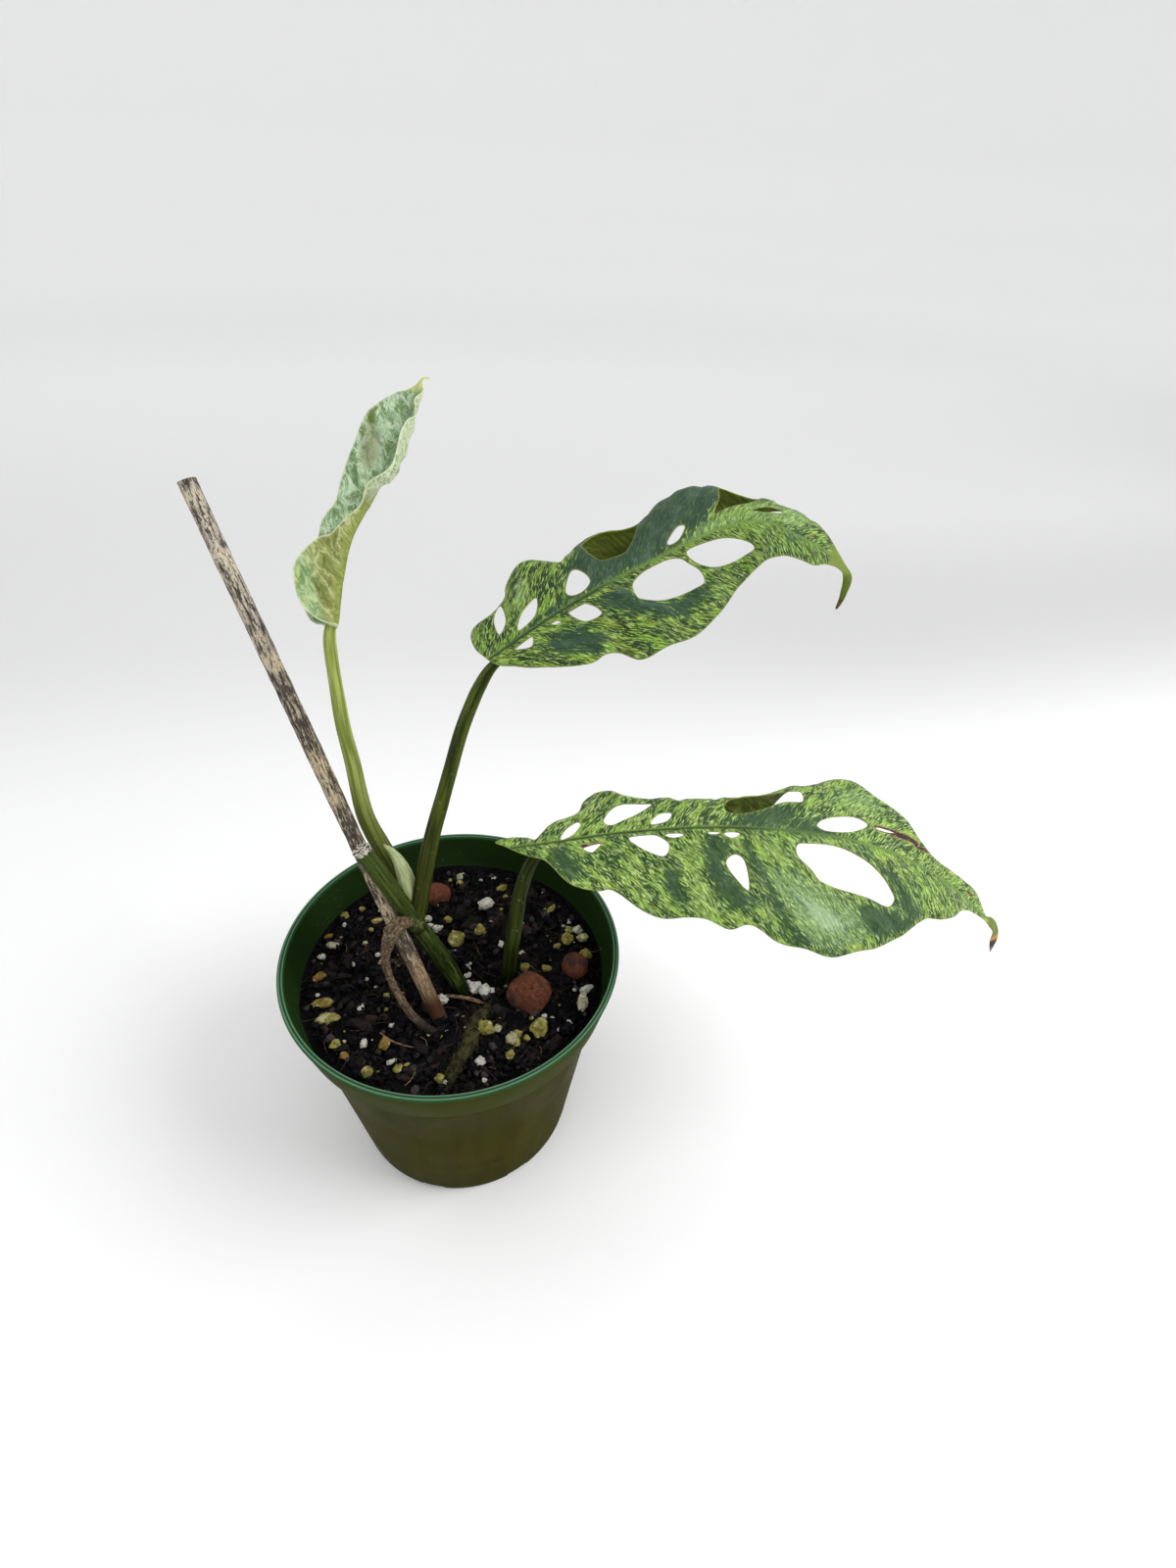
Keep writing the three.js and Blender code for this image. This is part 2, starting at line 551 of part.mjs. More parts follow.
const cutter = { swell: gap, sides: 12 };
const stemCut = stalk(stemLine, stemRadii, cutter);
const stalk1Cut = stalk(stalkLine1, stalkRadii1, cutter);
const stalk2Cut = stalk(stalkLine2, stalkRadii2, cutter);
const stakeCut = stalk(stakeLine, stakeRadii, cutter);
const rootCut = stalk(rootLine, rootRadii, cutter);
const stalk3Cut = stalk(stalkLine3, stalkRadii3, cutter);

const stem = stalk(stemLine, stemRadii, { sides: 12, steps: 22 });
const stalk1 = largest(stalk(stalkLine1, stalkRadii1, { steps: 26 }).subtract(stemCut));
const stalk2 = largest(stalk(stalkLine2, stalkRadii2, { steps: 24 }).subtract(stemCut).subtract(stalk1Cut));
const stalk3 = stalk(stalkLine3, stalkRadii3, { steps: 22 });
const stake = stalk(stakeLine, stakeRadii, { sides: 10, steps: 14 });
const root = largest(stalk(rootLine, rootRadii, { sides: 8, steps: 28 }).subtract(stemCut));
const sheathWhole = stalk(sheathLine, sheathRadii, { sides: 8, steps: 10 });
const sheath = largest(sheathWhole.subtract(stemCut).subtract(stalk1Cut).subtract(stalk2Cut));

const keepClear = [...plantedAt, ...pebbles.map(({ x, y, size }) => [x, y, size / 2 + 1])];
const sockets = pebbles.map((p, i) => pebbleSolid(p, i, gap));
const mix = buildMix([stemCut, stakeCut, rootCut, stalk3Cut, ...sockets], keepClear);

// Names, solids and finishes
const finish = (color, roughness) => ({ color, roughness, metalness: 0 });
const stalkGreen = finish(0x6f7d3a, 0.5);
const pieces = [
  ['pot', buildPot(), finish(0x3e432a, 0.45)],
  ['potting_mix', mix, finish(0x1d1c1b, 0.95)],
  ['main_stem', stem, finish(0x3c4a2b, 0.6)],
  ['stake', stake, finish(0x7d7468, 0.85)],
  ['aerial_root', root, finish(0x6a5a44, 0.85)],
  ['sheath', sheath, finish(0xa9ad78, 0.55)],
  ['petiole_1', stalk1, stalkGreen],
  ['petiole_2', stalk2, stalkGreen],
  ['petiole_3', stalk3, stalkGreen],
  [youngLeaf.name, blade(youngLeaf), finish(0xa9c2a0, 0.5)],
  [middleLeaf.name, blade(middleLeaf), finish(0x54803f, 0.45)],
  [lowLeaf.name, blade(lowLeaf), finish(0x5f8a45, 0.45)],
  ...pebbles.map((p, i) => [p.name, pebbleSolid(p, i), finish(0x7a4a30, 0.9)]),
];

const group = new THREE.Group();
for (const [name, solid, look] of pieces) {
  const mesh = new THREE.Mesh(toGeometry(solid), new THREE.MeshStandardMaterial(look));
  mesh.name = name;
  group.add(mesh);
}

export default group;
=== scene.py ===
import json
import math

import bpy
import numpy as np
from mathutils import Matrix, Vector, noise
from mathutils.geometry import delaunay_2d_cdt

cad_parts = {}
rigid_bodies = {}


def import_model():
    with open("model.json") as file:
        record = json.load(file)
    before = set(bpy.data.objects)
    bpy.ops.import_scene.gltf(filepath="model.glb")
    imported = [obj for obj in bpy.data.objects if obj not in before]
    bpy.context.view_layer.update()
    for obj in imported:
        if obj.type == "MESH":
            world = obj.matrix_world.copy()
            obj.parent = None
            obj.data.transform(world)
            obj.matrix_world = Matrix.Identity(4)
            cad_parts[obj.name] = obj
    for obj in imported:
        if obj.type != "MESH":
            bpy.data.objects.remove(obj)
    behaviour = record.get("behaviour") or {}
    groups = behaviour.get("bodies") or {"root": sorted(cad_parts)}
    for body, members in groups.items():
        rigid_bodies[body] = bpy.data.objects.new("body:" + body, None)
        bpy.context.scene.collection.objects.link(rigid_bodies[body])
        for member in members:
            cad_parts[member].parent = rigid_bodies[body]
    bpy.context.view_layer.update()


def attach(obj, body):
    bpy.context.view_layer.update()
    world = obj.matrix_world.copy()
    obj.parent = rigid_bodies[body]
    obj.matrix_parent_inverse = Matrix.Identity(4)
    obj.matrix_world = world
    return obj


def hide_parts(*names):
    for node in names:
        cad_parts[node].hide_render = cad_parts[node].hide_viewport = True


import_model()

# Camera: a wide phone lens held above the front of the pot,
# turned a little to the right and not quite level.
camera_turn = [math.radians(angle) for angle in (51.79, -2.292, -12.144)]
bpy.ops.object.camera_add(location=(0, -0.17044, 0.28385), rotation=camera_turn)
camera = bpy.context.object
camera.data.lens = 18
camera.data.clip_start = 0.01
bpy.context.scene.camera = camera
bpy.context.scene.view_settings.view_transform = "Standard"

# Studio: a pale floor that curves up all round into the backdrop,
# lit by a large soft panel from the upper right and a weaker one from the left.
def colour(red, green, blue):
    """A colour as seen on a screen, 0 to 255, as the light values that a shader takes."""
    seen = [value / 255 for value in (red, green, blue)]
    return [value / 12.92 if value <= 0.04045 else ((value + 0.055) / 1.055) ** 2.4 for value in seen] + [1]


def new_finish(name, roughness, **sockets):
    """Starts a material, with these values on its shader's own sockets.

    The helpers below add to the material that was started last.
    """
    global finish
    finish = bpy.data.materials.new(name)
    finish.use_nodes = True
    shader = finish.node_tree.nodes["Principled BSDF"]
    shader.inputs["Roughness"].default_value = roughness
    for socket, value in sockets.items():
        shader.inputs[socket.replace("_", " ")].default_value = value
    return finish


def add_node(kind, inputs, **settings):
    """A shader node. inputs holds a constant or another node's output for each socket."""
    made = finish.node_tree.nodes.new("ShaderNode" + kind)
    for setting, value in settings.items():
        setattr(made, setting, value)
    for socket, value in inputs.items():
        if isinstance(value, bpy.types.NodeSocket):
            finish.node_tree.links.new(value, made.inputs[socket])
        else:
            made.inputs[socket].default_value = value
    return made


def into(socket, output):
    """Joins a node's output to the material's shader."""
    shader = finish.node_tree.nodes["Principled BSDF"]
    finish.node_tree.links.new(output, shader.inputs[socket])


def step(value, low, high, start=0.0, end=1.0):
    """A soft step: start below low, end above high."""
    inputs = {0: value, 1: low, 2: high, 3: start, 4: end}
    return add_node("MapRange", inputs, interpolation_type="SMOOTHSTEP").outputs[0]


def maths(operation, first, second):
    return add_node("Math", {0: first, 1: second}, operation=operation).outputs[0]


def mix(share, first, second):
    """A blend of two colours. Each is a node's output, light values, or red, green and blue as seen."""
    first, second = [colour(*paint) if isinstance(paint, tuple) else paint for paint in (first, second)]
    return add_node("Mix", {0: share, 6: first, 7: second}, data_type="RGBA").outputs[2]


def coat(under, value, low, high, over, start=0.0, end=1.0):
    """One colour over another, by a soft step of a value: the share start below low, end above high."""
    return mix(step(value, low, high, start, end), under, over)


def place():
    return add_node("TexCoord", {}).outputs["Object"]


def axis_of(vector, axis):
    return add_node("SeparateXYZ", {0: vector}).outputs[axis]


bpy.ops.object.select_all(action="DESELECT")
reach = 3
curve_up = [(3.3, 0.02), (3.6, 0.1), (3.9, 0.26), (4.1, 0.45), (4.25, 0.7), (4.3, 1.0), (4.32, 1.3)]
bpy.ops.mesh.primitive_circle_add(vertices=96, radius=reach, fill_type="NGON", location=(0, 0, 0))
floor = bpy.context.object
floor.name = "studio_floor"
bpy.ops.object.mode_set(mode="EDIT")
for radius, rise in curve_up:
    bpy.ops.mesh.extrude_region_move(TRANSFORM_OT_translate={"value": (0, 0, rise)})
    bpy.ops.transform.resize(value=(radius / reach, radius / reach, 1), center_override=(0, 0, 0))
    reach = radius
bpy.ops.mesh.delete(type="ONLY_FACE")
bpy.ops.object.mode_set(mode="OBJECT")
bpy.ops.object.shade_smooth()
backdrop = new_finish("matt_backdrop", 0.9)
away = add_node("VectorMath", {0: place()}, operation="LENGTH").outputs["Value"]
behind = axis_of(place(), "Y")
rightward = axis_of(place(), "X")
# The floor's colour holds painted light and shade. It is near white in front, grey just behind the plant
# and paler further back. Painted shade darkens it where the right panel's light falls nearest, and painted
# light lifts the far floor and backdrop.
pale = coat([0.96, 0.96, 0.96, 1], behind, 0.1, 0.4, [0.74, 0.74, 0.74, 1])
pale = coat(pale, behind, 0.4, 1.4, [0.91, 0.91, 0.91, 1])
painted_shade_under_panel = maths("MULTIPLY", step(behind, 0.1, 0.35), step(behind, 0.35, 0.62, 1.0, 0.0))
painted_shade_under_panel = maths("MULTIPLY", painted_shade_under_panel, step(rightward, -0.1, 0.4))
pale = mix(painted_shade_under_panel, pale, [0.62, 0.62, 0.62, 1])
pale = coat(pale, away, 1.6, 2.8, [0.99, 0.99, 0.99, 1])
into("Base Color", pale)
floor.data.materials.append(backdrop)

panels = [((0.8, -0.3, 0.95), 0.7, 7.5), ((-0.8, 0.5, 1.2), 0.8, 1.5)]
lit_spot = Vector((0.05, 0, 0.08))
for spot, size, power in panels:
    turn = (lit_spot - Vector(spot)).to_track_quat("-Z", "Y").to_euler()
    bpy.ops.object.light_add(type="AREA", location=spot, rotation=turn)
    bpy.context.object.data.shape = "DISK"
    bpy.context.object.data.size = size
    bpy.context.object.data.energy = power
sky = bpy.context.scene.world or bpy.data.worlds.new("sky")
bpy.context.scene.world = sky
sky.use_nodes = True
sky.node_tree.nodes["Background"].inputs["Color"].default_value = [0.98, 0.985, 0.985, 1]
sky.node_tree.nodes["Background"].inputs["Strength"].default_value = 0.85

# Nursery pot: thin injection-moulded plastic, olive green, with a collar under a double lip.
# Drain slots are cut through the foot and three small moulding marks stand out low on the front.
mm = 0.001


def stretched(spot, *factors):
    return add_node("VectorMath", {0: spot, 1: factors}, operation="MULTIPLY").outputs[0]


def mottle(spot, scale, detail, roughness=0.5):
    """Cloudy noise of this fineness and detail."""
    inputs = {"Vector": spot, "Scale": scale, "Detail": detail, "Roughness": roughness}
    return add_node("TexNoise", inputs).outputs["Fac"]


def cellular(spot, scale, output, **settings):
    """Noise in cells."""
    inputs = {"Vector": spot, "Scale": scale, "Randomness": 1.0}
    return add_node("TexVoronoi", inputs, **settings).outputs[output]


def recorded(mark, output="Fac"):
    """A value that the mesh keeps at each of its points."""
    return add_node("Attribute", {}, attribute_name=mark).outputs[output]


def emboss(height, strength, distance):
    bump = add_node("Bump", {"Strength": strength, "Distance": distance, "Height": height})
    into("Normal", bump.outputs[0])


def begin_shape():
    """Leaves the last selection behind, so that an operator acts on the new primitive alone."""
    bpy.ops.object.select_all(action="DESELECT")


def take_up(piece):
    """Makes a piece the only selected one and the active one."""
    begin_shape()
    piece.select_set(True)
    bpy.context.view_layer.objects.active = piece


def edit_mode(on):
    bpy.ops.object.mode_set(mode="EDIT" if on else "OBJECT")


def settle():
    """Writes the active piece's place, turn and size into its mesh."""
    bpy.ops.object.transform_apply(location=True, rotation=True, scale=True)


def face_outward():
    """In edit mode: turns every face outward, and goes back to object mode."""
    bpy.ops.mesh.select_all(action="SELECT")
    bpy.ops.mesh.normals_make_consistent(inside=False)
    edit_mode(False)


def turned_shell(name, profile, sides):
    """A closed turned form: a disc drawn up, and widened or narrowed, from each ring to the next."""
    begin_shape()
    reach, height = profile[0]
    bpy.ops.mesh.primitive_circle_add(
        vertices=sides, radius=reach * mm, fill_type="NGON", location=(0, 0, height * mm))
    made = bpy.context.object
    made.name = name
    settle()
    edit_mode(True)
    for radius, level in profile[1:]:
        bpy.ops.mesh.extrude_region_move(TRANSFORM_OT_translate={"value": (0, 0, (level - height) * mm)})
        factor = radius / reach
        bpy.ops.transform.resize(value=(factor, factor, 1), center_override=(0, 0, 0))
        reach, height = radius, level
    face_outward()
    return made


def cut_or_join(piece, tool, operation):
    """Takes the tool away from a piece, or joins it on, and deletes the tool."""
    change = piece.modifiers.new(operation.lower(), "BOOLEAN")
    change.operation = operation
    change.object = tool
    take_up(piece)
    bpy.ops.object.modifier_apply(modifier=change.name)
    bpy.data.objects.remove(tool)


def smooth_shade(piece, angle):
    take_up(piece)
    bpy.ops.object.shade_smooth_by_angle(angle=math.radians(angle))


def add_marks(mesh, marks):
    """Makes a mesh keep each mark's values at its points."""
    for mark, values in marks.items():
        mesh.attributes.new(mark, "FLOAT", "POINT").data.foreach_set("value", values)


def stand_for(piece, skin, slot, *nodes):
    """The piece gets its skin and rides with the plant, in place of these nodes. Its slot is not used."""
    piece.data.materials.append(skin)
    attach(piece, "root")
    if nodes:
        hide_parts(*nodes)


pot_profile = [
    (33, 0.7), (34, 0), (37.2, 0), (38.1, 0.5), (38.5, 1.6), (38.9, 4), (41.5, 23), (44.3, 43),
    (47.05, 63), (47.3, 63.4), (47.5, 65.6), (47.45, 66), (48, 71), (50.4, 71), (50.85, 71.2), (51, 71.7),
    (52.4, 78), (53.9, 84.2), (53.85, 84.7), (53.5, 85), (53.15, 84.95), (52.95, 84.7), (52.75, 84.7),
    (52.5, 84.95), (52.2, 84.95), (51.95, 84.5), (51.5, 82.6), (49.5, 73.2), (46.5, 71), (44.9, 60),
    (40.9, 31), (37.1, 3.6), (36.6, 2.1), (35.2, 1.5),
]
pot = turned_shell("pot_shell", pot_profile, 168)

slot_count = 8
foot_radius = 36 * mm
begin_shape()
for turn in range(slot_count):
    angle = math.radians(360 / slot_count * (turn + 0.5))
    spot = (foot_radius * math.cos(angle), foot_radius * math.sin(angle), 0)
    bpy.ops.mesh.primitive_cube_add(size=1, location=spot, rotation=(0, 0, angle))
    bpy.context.object.scale = (7 * mm, 8 * mm, 4.8 * mm)
    bpy.context.object.name = f"slot_cutter_{turn}"
begin_shape()
for turn in range(slot_count):
    bpy.data.objects[f"slot_cutter_{turn}"].select_set(True)
bpy.context.view_layer.objects.active = bpy.data.objects["slot_cutter_0"]
bpy.ops.object.join()
cutters = bpy.context.object
settle()
edit_mode(True)
bpy.ops.mesh.select_all(action="SELECT")
bpy.ops.mesh.bevel(offset=0.8 * mm, segments=3)
edit_mode(False)
cut_or_join(pot, cutters, "DIFFERENCE")

moulding_marks = [(-15.1, -38.3, 24), (-4.6, -40.75, 22.8), (6.7, -40.15, 20.4)]
for mark in moulding_marks:
    begin_shape()
    spot = [distance * mm for distance in mark]
    bpy.ops.mesh.primitive_uv_sphere_add(segments=14, ring_count=8, radius=0.75 * mm, location=spot)
    settle()
    cut_or_join(pot, bpy.context.object, "UNION")
smooth_shade(pot, 32)

collar_height = 71
faces_out = []
for point in pot.data.vertices:
    x, y, z = point.co / mm
    mid_wall = 37.6 + 0.1365 * z if z < collar_height else 50 + 0.232 * (z - collar_height)
    faces_out.append(1.0 if math.hypot(x, y) > mid_wall or z < 0.9 else 0.0)
add_marks(pot.data, {"outside": faces_out})

pot_plastic = new_finish("olive_pot_plastic", 0.45, Specular_IOR_Level=0.01)
spot = place()
level = axis_of(spot, "Z")
streak_spot = stretched(spot, 160, 160, 14)
streaks = mottle(streak_spot, 1.0, 4.0)
band_spot = stretched(spot, 9, 9, 190)
bands = mottle(band_spot, 1.0, 3.0)
cloud = mottle(spot, 38.0, 3.0)
grain = mottle(spot, 2600.0, 2.0)
dust = cellular(spot, 420.0, "Distance")
outer = coat((48, 46, 4), streaks, 0.3, 0.7, (57, 55, 8))
outer = coat(outer, bands, 0.5, 0.7, (65, 63, 10), 0.0, 0.35)
outer = coat(outer, level, 0.0712, 0.0716, (56, 60, 16))
outer = coat(outer, cloud, 0.5, 0.75, (64, 66, 16), 0.0, 0.2)
# The inner wall's darker, bluer green is partly painted shade inside the pot. Pale specks of dust lie on
# it.
inner_with_painted_shade = coat((28, 46, 18), cloud, 0.4, 0.65, (34, 54, 24))
specks = maths("MULTIPLY", step(dust, 0.06, 0.13, 0.45, 0.0), step(cloud, 0.45, 0.6))
inner_with_painted_shade = mix(specks, inner_with_painted_shade, (130, 132, 110))
outside = recorded("outside")
shell_colour = coat(inner_with_painted_shade, outside, 0.45, 0.55, outer)
# The teal lip and its paler crest are partly a scuffed, worn edge and partly painted highlight where the
# lip catches the light.
lip_painted_sheen = step(level, 0.0838, 0.0844)
shell_colour = mix(lip_painted_sheen, shell_colour, (42, 78, 46))
crest_painted_highlight = step(level, 0.08485, 0.08495)
into("Base Color", mix(crest_painted_highlight, shell_colour, (92, 124, 98)))
into("Roughness", step(cloud, 0.3, 0.7, 0.42, 0.55))
height = maths("ADD", maths("MULTIPLY", bands, 3.0), grain)
emboss(height, 0.25, 0.00006)
stand_for(pot, pot_plastic, "pot_plastic", "pot")

# Potting mix: damp peat and bark that fills the pot to a finger's width below the rim.
# Its bed is one lumpy body. Loose crumbs of peat, dead fibres and chips of bark lie on it.
surface_level = 73.5


def mix_height(x, y):
    """Height of the bed, in millimetres, at a place across the pot."""
    lumps = 0.7 * math.sin(0.31 * x + 1) * math.cos(0.27 * y) + 0.5 * math.sin(0.14 * x - 0.21 * y + 2)
    return surface_level - 0.03 * y + lumps


bed_radius = 49.1
ring_width = 1.05
bed_profile = [(34.6, 1.8), (36.6, 3.8), (45.9, 71.1), (48.9, 73.2), (bed_radius, surface_level)]
bed_profile += [(bed_radius - ring_width * ring, surface_level) for ring in range(1, 47)]
bed = turned_shell("mix_bed", bed_profile, 180)
for point in bed.data.vertices:
    x, y, z = point.co / mm
    if z > surface_level - 0.1:
        out = math.hypot(x, y)
        crumble = noise.fractal(Vector((x, y, 3)) * 0.34, 0.9, 2.1, 4) * 1.5
        crumble += noise.noise(Vector((x, y, 9)) * 0.09) * 1.2
        level = mix_height(x, y) + crumble * min(1, (49.5 - out) / 4) - 0.6
        point.co.z = level * mm
smooth_shade(bed, 60)

rng = np.random.default_rng(11)
ball_points = []
golden = (1 + 5 ** 0.5) / 2
for a in (-1, 1):
    for b in (-golden, golden):
        ball_points += [(a, b, 0), (0, a, b), (b, 0, a)]
ball_points = np.array(ball_points) / math.hypot(1, golden)
ball_faces = []
for i in range(12):
    for j in range(i + 1, 12):
        for k in range(j + 1, 12):
            a, b, c = ball_points[i], ball_points[j], ball_points[k]
            if max(np.linalg.norm(a - b), np.linalg.norm(b - c), np.linalg.norm(c - a)) < 1.2:
                outward = np.dot(np.cross(b - a, c - a), a + b + c) > 0
                ball_faces.append((i, j, k) if outward else (i, k, j))
ball_faces = np.array(ball_faces)


def mesh_piece(name, points, faces, **marks):
    """A piece made of points, in millimetres, and faces, with marks kept at its points."""
    mesh = bpy.data.meshes.new(name)
    mesh.from_pydata(np.array(points) * mm, [], faces)
    add_marks(mesh, marks)
    made = bpy.data.objects.new(name, mesh)
    bpy.context.collection.objects.link(made)
    return made


def around_z(angle):
    """Turns points, given as rows, around Z."""
    c, s = math.cos(angle), math.sin(angle)
    return np.array([[c, s, 0], [-s, c, 0], [0, 0, 1]])


def anywhere(reach):
    """A random place across the pot within this reach of its middle, and its direction."""
    out = reach * math.sqrt(rng.random())
    turn = rng.uniform(0, 2 * math.pi)
    return out * math.cos(turn), out * math.sin(turn), turn


def scatter_lumps(name, lumps, roughen):
    """Many small lumps in one mesh: each has a place, three half sizes, a turn and a shade."""
    points, faces, shades = [], [], []
    for x, y, z, long, wide, tall, turn, shade in lumps:
        lump = ball_points * (1 + roughen * rng.uniform(-1, 1, (12, 1))) * (long, wide, tall)
        lean = rng.uniform(-0.5, 0.5)
        c, s = math.cos(lean), math.sin(lean)
        tip = np.array([[1, 0, 0], [0, c, s], [0, -s, c]])
        faces.append(ball_faces + len(ball_points) * len(points))
        points.append(lump @ tip @ around_z(turn) + (x, y, z))
        shades += [shade] * len(ball_points)
    return mesh_piece(name, np.concatenate(points), np.concatenate(faces).tolist(), shade=shades)


crumb_count = 5200
crumbs = []
while len(crumbs) < crumb_count:
    size = 0.3 + 1.75 * rng.random() ** 5
    x, y, turn = anywhere(48.4 - size)
    z = mix_height(x, y) + 0.2 * size + rng.uniform(-0.6, 0.5)
    wide, tall = size * rng.uniform(0.5, 1), size * rng.uniform(0.4, 0.9)
    crumbs.append((x, y, z, size, wide, tall, turn * 3, rng.random()))
crumbs = scatter_lumps("peat_crumbs", crumbs, 0.22)

chip_count = 190
large_chips = [(4, 24), (7, 19), (-19, -6), (30, 30), (-34, 8), (-12, -30), (27, -36), (-30, -18)]
chips = []
for x, y in large_chips:
    chips.append((x, y, mix_height(x, y) + 0.9, 3.6, 1.9, 1.2, rng.uniform(0, 6), 0.2))
while len(chips) < chip_count:
    x, y, turn = anywhere(45)
    long = rng.uniform(1.2, 3)
    z = mix_height(x, y) + rng.uniform(0.2, 0.9)
    chips.append((x, y, z, long, long * rng.uniform(0.25, 0.5), long * 0.25, turn * 5, rng.random()))
chips = scatter_lumps("bark_chips", chips, 0.25)

peat = new_finish("damp_peat", 0.85, Specular_IOR_Level=0.1)
spot = place()
fine = mottle(spot, 700.0, 5.0, 0.65)
broad = mottle(spot, 90.0, 3.0)
shade = recorded("shade")
# Painted light and shade in the peat: its near-black bed and darkest crumbs are partly painted shade inside
# the pot, and the bluish-grey flecks and palest crumbs are painted highlights standing in for wet glints.
tone = coat((4, 4, 6), fine, 0.46, 0.66, (32, 29, 36))
tone = coat(tone, broad, 0.5, 0.66, (30, 22, 18), 0.0, 0.6)
tone = coat(tone, shade, 0.35, 0.0, (3, 3, 4), 0.0, 0.85)
tone = coat(tone, shade, 0.86, 1.0, (72, 64, 68), 0.0, 0.75)
into("Base Color", tone)
into("Roughness", step(broad, 0.35, 0.65, 0.95, 0.55))
emboss(fine, 1.0, 0.0009)

bark = new_finish("wet_bark", 0.7, Specular_IOR_Level=0.12)
spot = place()
fine = mottle(spot, 480.0, 4.0)
shade = recorded("shade")
tone = mix(shade, (18, 14, 14), (50, 36, 28))
into("Base Color", coat(tone, fine, 0.4, 0.65, (14, 12, 13)))
emboss(fine, 0.8, 0.0004)

fibre_count = 420
sides_of_each = 11
corners_of_each = 12
fibre_corners, fibre_sides, fibre_shades = [], [], []
while len(fibre_sides) < sides_of_each * fibre_count:
    x, y, _ = anywhere(46)
    heading, curl, thick = rng.uniform(0, 6.3), rng.uniform(-0.5, 0.5), rng.uniform(0.05, 0.13)
    lift, reach = rng.uniform(0.1, 0.5), rng.uniform(0.7, 2.2)
    first = len(fibre_corners)
    for stop in range(4):
        height = mix_height(x, y) + 0.75 + lift * math.sin(stop * 1.2)
        for corner in (0, 2.1, 4.2):
            aside, up = thick * math.cos(corner), thick * math.sin(corner)
            spot = (x - aside * math.sin(heading), y + aside * math.cos(heading), height + up)
            fibre_corners.append(spot)
        x, y = x + reach * math.cos(heading), y + reach * math.sin(heading)
        heading += curl
    for stop in (0, 3, 6):
        for a, b in ((0, 1), (1, 2), (2, 0)):
            fibre_sides.append([first + stop + corner for corner in (a, b, b + 3, a + 3)])
    fibre_sides += [[first + 2, first + 1, first], [first + 9, first + 10, first + 11]]
    fibre_shades += [rng.random()] * corners_of_each
fibres = mesh_piece("peat_fibres", fibre_corners, fibre_sides, shade=fibre_shades)
take_up(fibres)
edit_mode(True)
face_outward()
fibre_skin = new_finish("dead_fibre", 0.8, Specular_IOR_Level=0.2)
shade = recorded("shade")
tone = coat((20, 16, 15), shade, 0.2, 0.85, (70, 56, 40))
tone = coat(tone, shade, 0.9, 0.97, (128, 110, 78))
flecked = mottle(place(), 900.0, 2.0)
into("Base Color", coat(tone, flecked, 0.5, 0.65, (24, 20, 16)))

stand_for(fibres, fibre_skin, "potting_mix")
stand_for(bed, peat, "potting_mix", "potting_mix")
stand_for(crumbs, peat, "potting_mix")
stand_for(chips, bark, "potting_mix")

